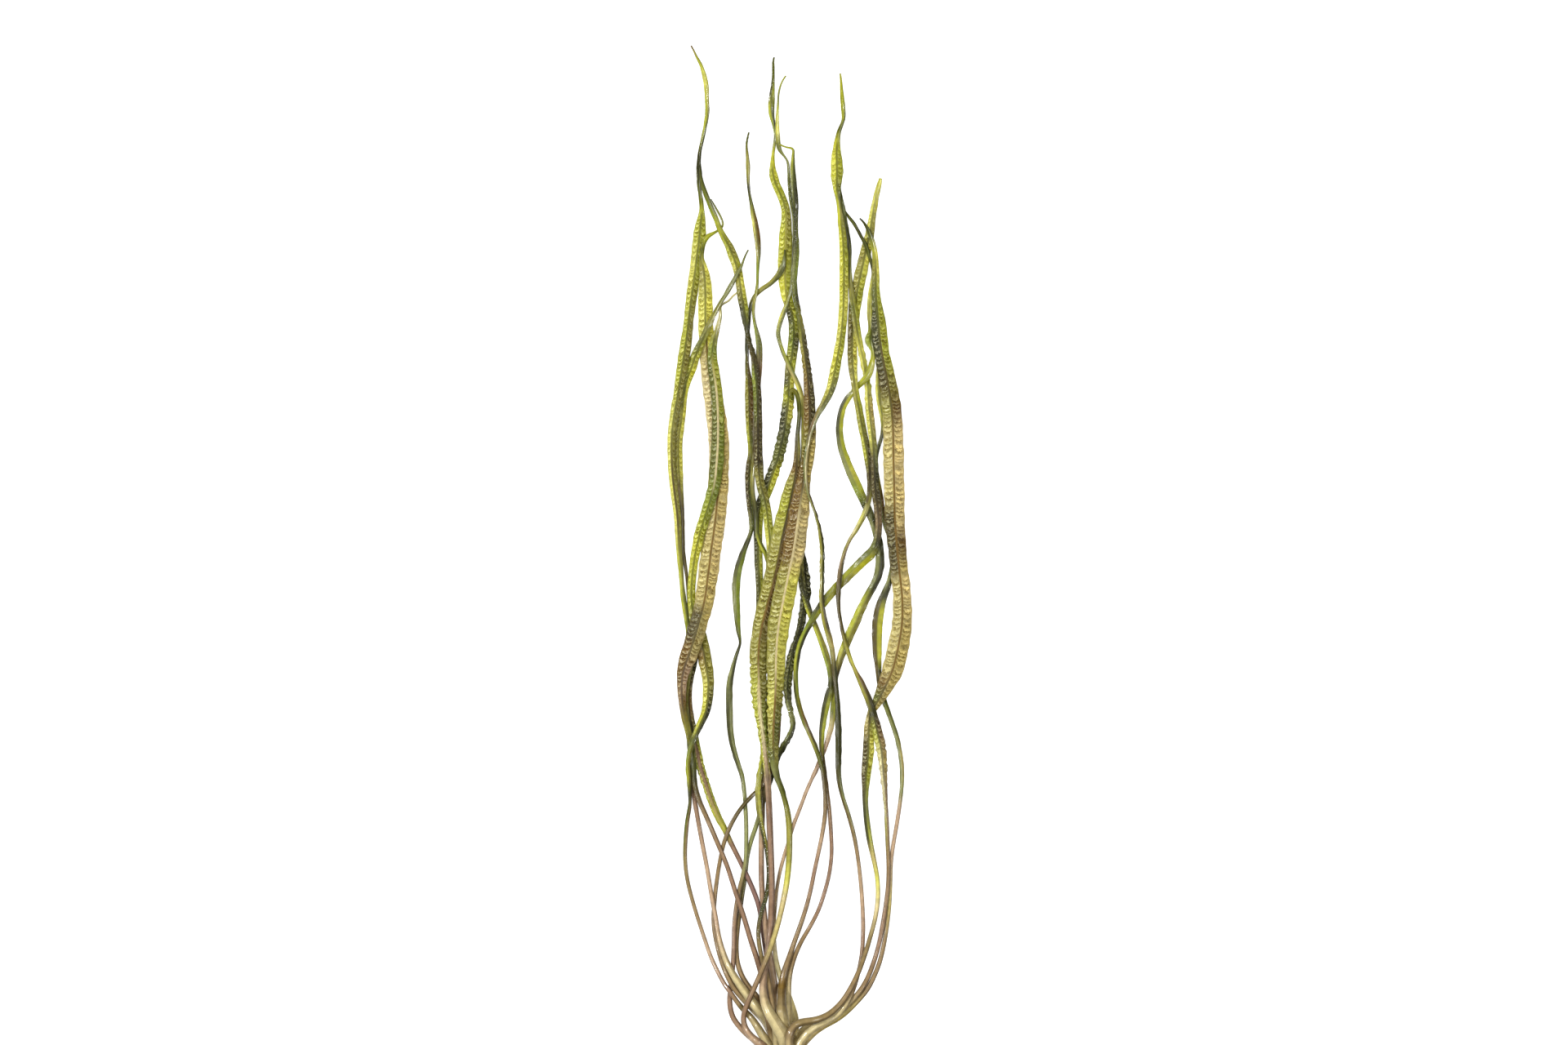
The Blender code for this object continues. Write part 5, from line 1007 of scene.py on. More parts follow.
# %% Stretches
SMOOTH = {6: [(140, 310)], 7: [(130, 320)], 10: [(60, 170)], 12: [(200, 425)], 13: [(140, 300)],
          14: [(140, 218)], 15: [(60, 262), (340, 385)], 17: [(195, 325)], 18: [(140, 285)]}
RUFFLED = {2: [(122, 172)], 5: [(60, 172), (415, 440)], 8: [(342, 392)],
           9: [(165, 232)], 10: [(168, 222), (400, 450)], 11: [(165, 297)], 13: [(385, 425)],
           15: [(262, 335)], 17: [(128, 182)]}
WET = {2: [(335, 395)], 3: [(243, 264)], 5: [(60, 135), (345, 432)], 6: [(308, 415)], 7: [(412, 442)],
       8: [(425, 448), (580, 600)], 10: [(440, 505)], 11: [(195, 297)], 12: [(315, 335)],
       14: [(262, 292), (425, 450), (500, 530)], 16: [(286, 326)], 17: [(140, 165)], 18: [(290, 330)]}
STOUT_RIBS = {2: [(116, 178)], 9: [(156, 216)]}
SOFT_END = 8.0


def within(distance, stretches):
    """1 inside the stretches and 0 outside, with soft ends."""
    inside = np.zeros_like(distance)
    for start, end in stretches:
        begun = ease((distance - start) / SOFT_END + 0.5)
        inside = np.maximum(inside, begun * ease((end - distance) / SOFT_END + 0.5))
    return inside


special = [places for table in (SMOOTH, RUFFLED, WET, STOUT_RIBS) for places in table.values()]
print(sum(len(places) for places in special), "special stretches")

# %% [markdown]
# ## Slow random waves
#
# Nothing on a leaf repeats evenly.  A sum of a few sines with random lengths and starts makes a
# slow wave, and every leaf draws its own from its own seed, always in the same order.


# %% Waves
def slow_wave(rng, length, shortest, longest):
    """A smooth random wave between about -1 and 1, made of five sines of chosen lengths."""
    total = np.zeros_like(length)
    for wavelength in np.geomspace(shortest, longest, 5):
        total += np.sin(2 * np.pi * (length / wavelength + rng.random())) * rng.uniform(0.4, 1.0)
    return total / 2.0


def draw_waves(rng, length):
    """All the waves of one leaf, as columns: its roll, its margins, its puckers and its crumples."""
    waves = {"roll": slow_wave(rng, length, 60.0, 190.0)}
    for side in ("left", "right"):
        waves[side] = slow_wave(rng, length, 7.0, 26.0)
    for side in ("left frill", "right frill"):
        waves[side] = slow_wave(rng, length, 3.0, 9.0)
    for side in ("left drift", "right drift"):
        waves[side] = slow_wave(rng, length, 11.0, 40.0) * 0.55 + rng.random()
    waves["patches"] = slow_wave(rng, length, 14.0, 80.0)
    waves["crumple"] = slow_wave(rng, length, 2.2, 6.0)
    return {name: wave[:, None] for name, wave in waves.items()}


print("waves of a leaf:", ", ".join(draw_waves(np.random.default_rng(1), np.arange(3.0))))

# %% [markdown]
# ## The blade's relief
#
# A leaf of this kind is stiff and rounded as a stalk near the bulb.  Farther out it is a soft blade
# with a sunken midrib, margins that wave, and a row of slanting puckers on each side of the midrib,
# like quilting.  The relief is real shape here, so it catches light from any side.
#
# First each row's own facts are gathered: how much it is a blade, how wide and how free it is.

# %% Facts of the rows
BLADE_ONSET = 105.0
BLADE_ONSET_LENGTH = 60.0
ROOM_REACH = 12
FULLNESS_REACH = 60
MOST_TURNED = 8.0


def row_facts(number, fine):
    """What the relief has to know of every row of a leaf, as columns."""
    distance, width = fine[:, 1:2], fine[:, 2:3]
    widest_near = [
        fine[max(0, row - FULLNESS_REACH):row + FULLNESS_REACH, 2].max() for row in range(len(fine))
    ]
    fullness = soften(np.array(widest_near), FULLNESS_REACH // 2)[:, None]
    return SimpleNamespace(
        width=width,
        height=fine[:, 3:4],
        blade=ease((distance - BLADE_ONSET) / BLADE_ONSET_LENGTH),
        room=soften(fine[:, 4], ROOM_REACH)[:, None],
        turned=np.clip(fullness - width, 0.0, MOST_TURNED),
        smooth=within(distance, SMOOTH.get(number, [])),
        ruffled=within(distance, RUFFLED.get(number, [])),
        wet=within(distance, WET.get(number, [])),
        stout=within(distance, STOUT_RIBS.get(number, [])),
    )


print("a stalk turns into a blade over", BLADE_ONSET_LENGTH, "mm")

# %% [markdown]
# The body comes next.  A stalk is arched like half a tube.  A blade curls up towards its margins,
# more where it is turned on its edge, and where one half is darker than the other it is creased
# along its midrib.

# %% Body of the blade
CURL_BY_WIDTH = 0.05
CURL_BY_TURN = 0.22
LEAST_CURL, MOST_CURL = 0.05, 2.6
KEEL_BY_WIDTH = 0.16
MOST_KEEL = 1.6
STALK_ARCH = 0.26
STALK_ARCH_WIDTH = 5.0
STALK_DROP = 0.3


def body_height(rows, across, crease, roll):
    """Height of every point of the plain body."""
    edge = np.abs(across)
    curl_room = np.clip(rows.room - 1.5, LEAST_CURL, MOST_CURL)
    curl = np.minimum(CURL_BY_WIDTH * rows.width + CURL_BY_TURN * rows.turned, curl_room) * rows.blade
    lean = ease(0.5 + 0.5 * roll * np.sign(across) * 1.6)
    height = rows.height + curl * (0.25 + 0.9 * lean) * edge ** 1.6
    keel_room = np.clip(rows.room - 1.4, 0.0, MOST_KEEL)
    keel = np.minimum(KEEL_BY_WIDTH * rows.width, keel_room) * crease[:, None] * rows.blade
    height = height + keel * (1.0 - edge) ** 1.3
    round_top = np.sqrt(np.clip(1.0 - across ** 2, 0.0, 1.0))
    arch = round_top * np.minimum(rows.width, STALK_ARCH_WIDTH) * STALK_ARCH
    return height + (1.0 - rows.blade) * (arch - STALK_DROP)


print("margins curl up by at most", MOST_CURL, "mm")

# %% [markdown]
# The margins wave slowly, with a fine frill on top that is strong where the leaf is ruffled.

# %% Margins
WAVE_BY_WIDTH = 0.07
LEAST_WAVE, MOST_WAVE = 0.12, 0.8
FRILL_GAIN = 1.4


def margin_waves(rows, across, waves):
    """The slow wave and the frill of the margins, and the height that they add."""
    wave = np.where(across < 0.0, waves["left"], waves["right"])
    frill = np.where(across < 0.0, waves["left frill"], waves["right frill"])
    frill = frill * (0.25 + 0.75 * rows.ruffled)
    swing = np.minimum(WAVE_BY_WIDTH * rows.width, np.clip(rows.room - 1.3, LEAST_WAVE, MOST_WAVE))
    lift = swing * rows.blade * (wave + FRILL_GAIN * frill * rows.ruffled) * np.abs(across) ** 3
    return wave, frill, lift


print("margins wave by at most", MOST_WAVE, "mm")

# %% [markdown]
# The puckers stand in one row on each side of the midrib.  A count runs along the leaf and rises by
# one from pucker to pucker.  It is bent across the row, so that the puckers slant, and it drifts,
# so that no two are alike.

# %% Puckers
PUCKER_LENGTH = 3.1
PUCKER_HEIGHT = 0.40
PUCKER_BY_WIDTH = 0.07
ROW_START = 0.5
ROW_SHARE = 0.9
LEAST_ROW_WIDTH = 0.3


def pucker_rows(rows, length, across, waves):
    """The count, the strength and the crests of the puckers, and where each point is in its row."""
    off_midrib = np.abs(across) * rows.width / 2.0
    row_width = np.maximum(ROW_SHARE * rows.width / 2.0 - ROW_START, LEAST_ROW_WIDTH)
    row_place = (off_midrib - ROW_START) / row_width
    in_row = np.sin(np.pi * np.clip(row_place, 0.0, 1.0))
    count = length[:, None] / PUCKER_LENGTH + 0.35 * in_row + 0.25 * row_place
    count = count + np.where(across < 0.0, waves["left drift"], waves["right drift"])
    strength = ease((rows.width - 2.6) / 3.0) * rows.blade * (1.0 - rows.smooth)
    patchy = np.clip(0.85 + 0.3 * waves["patches"], 0.3, 1.15)
    quilt = strength * patchy * ease(2.8 * in_row)
    crest = quilt * (0.5 - 0.5 * np.cos(2 * np.pi * count))
    return SimpleNamespace(count=count, quilt=quilt, crest=crest, row_place=row_place, strength=strength)


print("puckers", PUCKER_LENGTH, "mm long and up to", PUCKER_HEIGHT, "mm high")

# %% [markdown]
# Last come the sunken midrib, the crumples of the wet stretches and the tint: a stalk is painted
# lighter along its top and darker at its sides, painted light and shade that make it look round, and
# a blade is darker at its rim and lighter on the crests of its puckers, where a slightly paler tissue
# carries a painted highlight.  The browned leaves with a thin rim darken less there.

# %% Relief of one leaf
RIB_SINK = 0.10
RIB_HALF_WIDTH = 0.5
CRUMPLE_GAIN = 0.7
LOWEST_BELOW_ROUTE = 0.45
LOWEST_POINT = 0.34
STALK_TRIM = 0.3
BLADE_GAIN = 0.15
RIM_SHADE = 0.32
THIN_RIM_SHADE = 0.12
THIN_RIMMED = (3, 16)


def skin_tint(number, rows, across, puckers):
    """How much lighter or darker the skin is, painted light and shade included."""
    edge = np.abs(across)
    # Painted light and shade: a stalk is lighter along its top and darker at its sides, so it looks round.
    painted_stalk_light = 1.10 - 0.34 * ease((edge - 0.3) / 0.7)
    rim = 1.0 - (THIN_RIM_SHADE if number in THIN_RIMMED else RIM_SHADE) * ease((edge - 0.8) / 0.2)
    pale_border = 1.0 + 0.10 * ease((puckers.row_place - 0.85) / 0.2) * puckers.strength
    # The pucker crests are lighter: partly paler tissue and partly a painted highlight.
    flat_blade = rim * pale_border * (0.93 + 0.16 * puckers.crest)
    return (1.0 - rows.blade) * painted_stalk_light + rows.blade * flat_blade


def leaf_relief(number, fine, length, across, crease, rng):
    """Side offset and height of every point of a leaf in millimetres, and what its skin shows there."""
    rows = row_facts(number, fine)
    waves = draw_waves(rng, length)
    height = body_height(rows, across, crease, waves["roll"])
    wave, frill, lift = margin_waves(rows, across, waves)
    puckers = pucker_rows(rows, length, across, waves)
    crumple = waves["crumple"] * np.cos(3.0 * across + 2.0 * waves["left"]) * rows.wet
    bumps = puckers.crest + CRUMPLE_GAIN * crumple * rows.blade
    height = height + lift + np.minimum(PUCKER_HEIGHT, PUCKER_BY_WIDTH * rows.width) * bumps
    in_rib = np.exp(-((np.abs(across) * rows.width / 2.0 / RIB_HALF_WIDTH) ** 2))
    height = height - RIB_SINK * in_rib * rows.blade * ease(rows.width / 3.0)
    height = np.maximum(height, np.maximum(rows.height - LOWEST_BELOW_ROUTE, LOWEST_POINT))

    half = rows.width / 2.0 - STALK_TRIM + (STALK_TRIM + BLADE_GAIN) * rows.blade
    ragged = (0.035 * wave + (0.02 + 0.10 * rows.ruffled) * frill) * rows.blade
    ribbed = rows.blade * ease((rows.width - 2.2) / 2.0) * (1.0 - 0.6 * rows.smooth)
    skin = {
        "cell": puckers.count, "quilt": puckers.quilt, "tint": skin_tint(number, rows, across, puckers),
        "ribbed": ribbed, "blade": rows.blade, "wet": rows.wet, "slim": 1.0 - 0.5 * rows.stout,
    }
    skin = {name: value + 0 * across for name, value in skin.items()}
    return across * half * (1.0 + ragged), height, skin


print("midribs are sunk by", RIB_SINK, "mm")

# %% [markdown]
# ## Wet, thin and alive
#
# The skin of a wet leaf is glossy, and light goes through it.  A Principled shader gives the gloss
# and a Translucent one the glow from behind: a little on the fleshy stalks, more on the thin blade.
#
# The two halves and the midrib take their shades from the leaf's own attributes.  The leaf map's
# first number is the distance from the midrib in millimetres, so the crease and the rib are crisp.

# %% Halves and midrib
leaf_skin = Finish("leaf_skin")
leaf_map = leaf_skin.add("UVMap", uv_map="blade").outputs["UV"]
map_parts = leaf_skin.add("SeparateXYZ", vector=leaf_map)
from_midrib = map_parts.outputs["X"]
off_midrib = leaf_skin.math("ABSOLUTE", from_midrib)
# The left and right shades blend across the midrib; the darker one carries painted shade where the blade
# is turned.
right_share = leaf_skin.spread(from_midrib, -0.4, 0.4, 0.0, 1.0)
halves = leaf_skin.mixed(
    right_share, leaf_skin.attribute("left_shade", "Color"), leaf_skin.attribute("right_shade", "Color")
)

ribbed = leaf_skin.attribute("ribbed")
rises = leaf_skin.spread(off_midrib, 0.5, 0.72, 0.0, 1.0)
falls = leaf_skin.spread(off_midrib, 0.8, 1.25, 0.12, 0.0)
shoulder = leaf_skin.math("MULTIPLY", leaf_skin.math("MULTIPLY", rises, falls), ribbed)
halves = leaf_skin.scaled(halves, leaf_skin.math("ADD", shoulder, 1.0))
in_rib = leaf_skin.math("MULTIPLY", off_midrib, leaf_skin.attribute("slim"))
rib_line = leaf_skin.math("MULTIPLY", leaf_skin.spread(in_rib, 0.42, 0.82, 1.0, 0.0), ribbed)
ribbed_colour = leaf_skin.mixed(rib_line, halves, leaf_skin.attribute("rib_shade", "Color"))
print("leaf skin has", len(leaf_skin.tree.nodes), "nodes so far")

# %% [markdown]
# A brown groove runs between each two puckers, with a pale rim beside it.  The groove is partly
# brown and partly painted shade in the hollow, and the pale rim is partly paler tissue and partly a
# painted highlight on the swell.  The pucker count is shaken by a noise, so that both become
# squiggles, and a second noise breaks them up.

# %% Grooves and rims of the puckers
# Place in a pucker, from 0 to 1, then how much groove (brown with painted shade), pale rim (painted
# highlight) and swell it has there.
QUILT_STOPS = [
    (0.0, (1.0, 0.0, 0.0)), (0.10, (0.9, 0.0, 0.1)), (0.19, (0.0, 0.0, 0.5)), (0.27, (0.0, 1.0, 0.9)),
    (0.44, (0.0, 0.8, 1.0)), (0.60, (0.0, 0.0, 0.9)), (0.84, (0.0, 0.0, 0.5)), (0.92, (0.9, 0.0, 0.1)),
]
GROOVE_BROWN_AND_SHADE = (0.42, 0.34, 0.16)
HIGHLIGHT_TINT = (0.9, 0.9, 0.8)
HIGHLIGHT_LIFT = (0.34, 0.33, 0.20)

shake = leaf_skin.add("TexNoise", vector=leaf_map, scale=0.75, detail=2.0)
drift = leaf_skin.math("MULTIPLY", shake.outputs["Fac"], 1.5)
shaken = leaf_skin.math("ADD", leaf_skin.attribute("cell"), drift)
quilt_colour = leaf_skin.ramp(leaf_skin.math("FRACT", shaken), QUILT_STOPS)
quilt_parts = leaf_skin.add("SeparateColor", color=quilt_colour)
broken = leaf_skin.add("TexNoise", vector=leaf_map, scale=0.42, detail=1.0)
quilt = leaf_skin.attribute("quilt")
presence = leaf_skin.math("MULTIPLY", quilt, leaf_skin.spread(broken.outputs["Fac"], 0.36, 0.56, 0.6, 1.0))
groove = leaf_skin.math("MULTIPLY", quilt_parts.outputs["Red"], presence)
painted_highlight_rim = leaf_skin.math("MULTIPLY", quilt_parts.outputs["Green"], presence)

# Groove colour: darker and browner, partly its own brown and partly painted shade in the hollow.
darker = leaf_skin.add("VectorMath", operation="MULTIPLY")
darker.inputs[1].default_value = GROOVE_BROWN_AND_SHADE
leaf_skin.feed(darker.inputs[0], ribbed_colour)
# Rim colour: lifted towards pale cream, partly paler tissue and partly a painted highlight on the swell.
painted_highlight = leaf_skin.add("VectorMath", operation="MULTIPLY_ADD")
painted_highlight.inputs[1].default_value = HIGHLIGHT_TINT
painted_highlight.inputs[2].default_value = HIGHLIGHT_LIFT
leaf_skin.feed(painted_highlight.inputs[0], ribbed_colour)
grooved = leaf_skin.mixed(leaf_skin.math("MULTIPLY", groove, 0.95), ribbed_colour, darker.outputs[0])
quilted = leaf_skin.mixed(leaf_skin.math("MULTIPLY", painted_highlight_rim, 0.9), grooved, painted_highlight.outputs[0])
print("a pucker has", len(QUILT_STOPS), "stops")

# %% [markdown]
# Small dark specks stand here and there, fine veins run along the blade, and a mottle lies over all.

# %% Specks, veins and mottle
specks = leaf_skin.add("TexVoronoi", vector=leaf_map, scale=0.16, randomness=1.0)
speck = leaf_skin.spread(specks.outputs["Distance"], 0.05, 0.09, 0.75, 0.0)
speck = leaf_skin.math("MULTIPLY", leaf_skin.math("MULTIPLY", speck, leaf_skin.attribute("blade")), ribbed)
leaf_colour = leaf_skin.mixed(speck, quilted, SHADES["bark"])
place = leaf_skin.add("TexCoord").outputs["Object"]
mottle = leaf_skin.add("TexNoise", vector=place, scale=300.0, detail=4.0)
veins = leaf_skin.add("TexWave", vector=leaf_map, scale=0.42, distortion=0.6, detail=1.0)
leaf_colour = leaf_skin.scaled(leaf_colour, leaf_skin.spread(mottle.outputs["Fac"], 0.3, 0.7, 0.86, 1.14))
leaf_colour = leaf_skin.scaled(leaf_colour, leaf_skin.spread(veins.outputs["Fac"], 0.0, 1.0, 0.95, 1.05))
leaf_colour = leaf_skin.scaled(leaf_colour, leaf_skin.attribute("tint"))
print("leaf skin has", len(leaf_skin.tree.nodes), "nodes so far")

# %% [markdown]
# The wet stretches are smoother and have more coat, and their crumpled skin is bumpier.  The midrib
# is duller than the rest.  Three bumps lie over one another: swells, crumples and veins.

# %% Gloss and glow
wet = leaf_skin.attribute("wet")
dull_rib = leaf_skin.math("MULTIPLY", rib_line, 0.3)
not_rib = leaf_skin.math("SUBTRACT", 1.0, rib_line)
crumples = leaf_skin.add("TexNoise", vector=leaf_map, scale=0.8, detail=2.0)
swell = leaf_skin.math("MULTIPLY", quilt_parts.outputs["Blue"], quilt)
crumpled = leaf_skin.math("MULTIPLY", crumples.outputs["Fac"], wet)
swelling = leaf_skin.bump(swell, strength=0.8, distance=0.0005)
crumpling = leaf_skin.bump(crumpled, strength=1.0, distance=0.0012, below=swelling)
grain = leaf_skin.bump(veins.outputs["Fac"], strength=0.25, distance=0.0002, below=crumpling)
leaf_skin.surface({
    "Base Color": leaf_colour,
    "Roughness": leaf_skin.math("ADD", leaf_skin.spread(wet, 0.0, 1.0, 0.32, 0.2), dull_rib),
    "Coat Weight": leaf_skin.math("MULTIPLY", leaf_skin.spread(wet, 0.0, 1.0, 0.25, 0.7), not_rib),
    "Coat Roughness": 0.1,
    "Specular IOR Level": 0.3,
    "Normal": grain,
    "Coat Normal": grain,
})
through = leaf_skin.add("BsdfTranslucent", color=leaf_colour)
both = leaf_skin.add("MixShader")
leaf_skin.feed(both.inputs["Fac"], leaf_skin.spread(leaf_skin.attribute("blade"), 0.0, 1.0, 0.15, 0.6))
leaf_skin.feed(both.inputs[1], leaf_skin.shader.outputs["BSDF"])
leaf_skin.feed(both.inputs[2], through.outputs["BSDF"])
leaf_skin.feed(leaf_skin.output.inputs["Surface"], both.outputs["Shader"])
print("leaf skin has", len(leaf_skin.tree.nodes), "nodes")

# %% [markdown]
# ## Making the leaves
#
# Each leaf starts as a flat grid.  Its points are carried to the route and pushed into relief.  A
# broad leaf gets more columns than a narrow one.

# %% Flat sheets
# A leaf that is broader than the first number, in millimetres, gets the second number of columns.
COLUMNS = [(9.0, 24), (5.0, 16), (0.0, 12)]


def read_points(mesh):
    """The places of all points of a mesh, one in a row."""
    flat = np.zeros(len(mesh.vertices) * 3)
    mesh.vertices.foreach_get("co", flat)
    return flat.reshape(-1, 3)


def flat_sheet(name, columns, rows):
    """A flat grid with a map, and the row and the column of each of its points."""
    sheet = bmesh.new()
    sheet.loops.layers.uv.new("blade")
    bmesh.ops.create_grid(sheet, x_segments=columns, y_segments=rows, size=1.0, calc_uvs=True)
    mesh = bpy.data.meshes.new(name)
    sheet.to_mesh(mesh)
    sheet.free()
    flat = read_points(mesh)
    column = np.rint((flat[:, 0] + 1.0) / 2.0 * columns).astype(int)
    row = np.rint((flat[:, 1] + 1.0) / 2.0 * rows).astype(int)
    return mesh, row, column


print("a leaf is at least", COLUMNS[-1][1], "columns wide")

# %% [markdown]
# The blade is creased where its halves differ in brightness.  Side offsets are measured square to
# the route, and the map keeps the distance from the midrib and the way along the leaf.

# %% Shape and skin of a sheet
CREASE_BY_CONTRAST = 2.0
CREASE_SOFTENING = 8


def creases(left, right):
    """How much the blade is creased along its midrib in each row, from 0 to 1."""
    light, other = left.sum(axis=1), right.sum(axis=1)
    return soften(ease(CREASE_BY_CONTRAST * np.abs(light - other) / (light + other)), CREASE_SOFTENING)


def place_points(mesh, fine, side, height, row, column):
    """Carry the points of a sheet to the route, with their side offsets and heights."""
    tangent = np.gradient(fine[:, :2], axis=0)
    tangent /= np.linalg.norm(tangent, axis=1)[:, None]
    x = fine[:, 0:1] + side * tangent[:, 1:2]
    y = fine[:, 1:2] - side * tangent[:, 0:1] + CROWN
    points = np.stack([x, y, height], axis=-1)[row, column] * MM
    mesh.vertices.foreach_set("co", points.ravel())


def set_map(mesh, values):
    """Write the map of a mesh from a pair of numbers for every vertex."""
    corner = np.zeros(len(mesh.loops), int)
    mesh.loops.foreach_get("vertex_index", corner)
    mesh.uv_layers["blade"].data.foreach_set("uv", values[corner].ravel())


def set_attribute(mesh, name, kind, values):
    """A named value on every vertex, for the material to read."""
    layer = mesh.attributes.new(name, kind, "POINT")
    key = "color" if kind == "FLOAT_COLOR" else "value"
    layer.data.foreach_set(key, np.ascontiguousarray(values, np.float32).ravel())


print("creases are softened over", CREASE_SOFTENING, "rows")

# %% [markdown]
# A Solidify modifier gives the sheet its thickness, stout at the stalk and thin at the tip.

# %% Thickness of a sheet
SHEET_THICKNESS = [(0.0, 1.3), (90.0, 1.1), (150.0, 0.8), (200.0, 0.42), (610.0, 0.34)]


def thicken(leaf, distance, row):
    """Give a sheet a wall, and every row its own share of the greatest thickness."""
    stoutness = leaf.vertex_groups.new(name="stoutness")
    thickness = np.interp(distance, *np.array(SHEET_THICKNESS).T)
    for index, share in enumerate(thickness / thickness.max()):
        stoutness.add(np.flatnonzero(row == index).tolist(), float(share), "REPLACE")
    wall = leaf.modifiers.new("thickness", "SOLIDIFY")
    wall.thickness = float(thickness.max()) * MM
    wall.offset = 0.0
    wall.vertex_group = "stoutness"


print("sheets are", SHEET_THICKNESS[0][1], "to", SHEET_THICKNESS[-1][1], "mm thick")

# %% [markdown]
# All these steps together make a leaf.  Each leaf rides on the one body of the frame and stands for
# its solid there.  Four of the leaves are browned, and the others are green.


def make_leaf(number):
    """One leaf, from its route to a thickened ribbon with its colours; returns its triangle count."""
    name = f"leaf_{number:02d}"
    fine, length = fine_route(number)
    rows = len(fine) - 1
    broadest = fine[:, 2].max()
    columns = next(count for width, count in COLUMNS if broadest > width)
    mesh, row, column = flat_sheet(name + "_blade", columns, rows)

    left, right, midrib = shade_rows(number, fine[:, 1])
    across = np.linspace(-1.0, 1.0, columns + 1)[None, :]
    rng = np.random.default_rng(number)
    side, height, skin_values = leaf_relief(number, fine, length, across, creases(left, right), rng)
    place_points(mesh, fine, side, height, row, column)
    set_map(mesh, np.column_stack([side[row, column], length[row]]))
    for layer, colours in (("left_shade", left), ("right_shade", right), ("rib_shade", midrib)):
        set_attribute(mesh, layer, "FLOAT_COLOR", np.column_stack([colours[row], np.ones(len(row))]))
    for layer, values in skin_values.items():
        set_attribute(mesh, layer, "FLOAT", values[row, column])
    mesh.shade_smooth()
    mesh.materials.append(leaf_skin.material)
    mesh.update()

    leaf = bpy.data.objects.new(name + "_blade", mesh)
    bpy.context.scene.collection.objects.link(leaf)
    thicken(leaf, fine[:, 1], row)
    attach(leaf, "root")
    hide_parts(name)
    return 4 * rows * columns + 4 * (rows + columns)


triangles = [make_leaf(number) for number in range(1, len(ROUTES) + 1)]
print(sum(triangles), "triangles in the leaves, at most", max(triangles), "in one")

# %% [markdown]
# ## The bulb
#
# A bulb is a bud wrapped in scales, like an onion.  Its outline runs from the neck, which ends in
# rings of cut leaf bases, to the basal plate.  It is read in even steps and spun round the axis.

# %% Bulb body
# Place along the axis and radius there, in millimetres.
BULB_OUTLINE = [
    (28.6, 0.0), (28.6, 4.0), (31.0, 5.2), (31.2, 6.2), (28.8, 7.2), (30.8, 8.4), (31.2, 9.4),
    (29.0, 10.4), (31.0, 11.8), (32.0, 13.4), (32.6, 15.0), (32.2, 15.7), (29.4, 15.3), (24.0, 14.6),
    (16.0, 15.1), (8.0, 16.3), (0.0, 16.8), (-8.0, 15.9), (-14.0, 13.5), (-19.0, 10.1), (-22.0, 7.4),
    (-23.2, 6.6), (-23.9, 5.0), (-23.7, 2.4), (-23.8, 0.0),
]
OUTLINE_STEP = 0.7
BULB_TURNS = 180

outline = smooth_curve(BULB_OUTLINE, 12)
run = along_curve(outline)
stops = np.linspace(0.0, run[-1], int(run[-1] / OUTLINE_STEP))
outline = np.column_stack([np.interp(stops, run, column) for column in outline.T])
outline[:, 1] = np.clip(outline[:, 1], 0.0, None)
outline[[0, -1], 1] = 0.0

bulb_shape = bmesh.new()
dots = [
    bulb_shape.verts.new((radius * MM, along_y * MM, BULB_AXIS_HEIGHT * MM)) for along_y, radius in outline
]
lines = [bulb_shape.edges.new(pair) for pair in zip(dots, dots[1:])]
bmesh.ops.spin(
    bulb_shape, geom=dots + lines, cent=(0.0, 0.0, BULB_AXIS_HEIGHT * MM), axis=(0.0, 1.0, 0.0),
    angle=2 * math.pi, steps=BULB_TURNS, use_merge=True,
)
bmesh.ops.remove_doubles(bulb_shape, verts=bulb_shape.verts, dist=0.00002)
bmesh.ops.recalc_face_normals(bulb_shape, faces=bulb_shape.faces)
bulb_mesh = bpy.data.meshes.new("bulb_body")
bulb_shape.to_mesh(bulb_mesh)
bulb_shape.free()
print("bulb has", len(bulb_mesh.polygons), "faces")

# %% [markdown]
# The surface is then pushed out.  Ridges run from end to end, broad swells make the bulb uneven, and
# each scale ends in a wavy edge, below which it stands out over the moist scale above.  Near its
# edge a scale is dry and papery.

# %% Scales and ridges
# Where a scale's edge lies along the axis, how far it swings, and how much the scale stands out.
SCALE_EDGES = [(25.0, 2.6, 0.45), (10.0, 4.2, 0.5), (-6.0, 3.4, 0.45)]
SCALE_FADE = 22.0
PAPERY_FADE = 2.4
LOWEST_SKIN = 0.02

skin = read_points(bulb_mesh) / MM
turn = np.arctan2(skin[:, 2] - BULB_AXIS_HEIGHT, skin[:, 0])
radius = np.hypot(skin[:, 0], skin[:, 2] - BULB_AXIS_HEIGHT)
outside = ease((radius - 5.0) / 4.0) * ease((30.5 - skin[:, 1]) / 3.0)
bulge = 0.10 * np.sin(46 * turn + 2.0 * np.sin(3 * turn)) + 0.08 * np.sin(71 * turn + 0.08 * skin[:, 1])
bulge += 0.22 * np.sin(3 * turn + 0.06 * skin[:, 1]) + 0.15 * np.sin(5 * turn - 0.1 * skin[:, 1])
papery = np.zeros(len(skin))
for order, (edge, swing, step) in enumerate(SCALE_EDGES):
    rim = edge + swing * np.sin(2 * turn + 1.7 * order) + 0.8 * np.sin(7 * turn + order)
    rim += 0.35 * np.sin(23 * turn)
    below = ease((rim - skin[:, 1]) / 0.7 + 0.5)
    past_rim = np.clip(rim - skin[:, 1], 0.0, None)
    bulge += step * below * np.exp(-past_rim / SCALE_FADE)
    papery += below * np.exp(-past_rim / PAPERY_FADE)
growth = 1.0 + outside * bulge / np.maximum(radius, 1.0)
skin[:, 0] *= growth
skin[:, 2] = BULB_AXIS_HEIGHT + (skin[:, 2] - BULB_AXIS_HEIGHT) * growth
skin[:, 2] = np.maximum(skin[:, 2], LOWEST_SKIN)
bulb_mesh.vertices.foreach_set("co", (skin * MM).ravel())
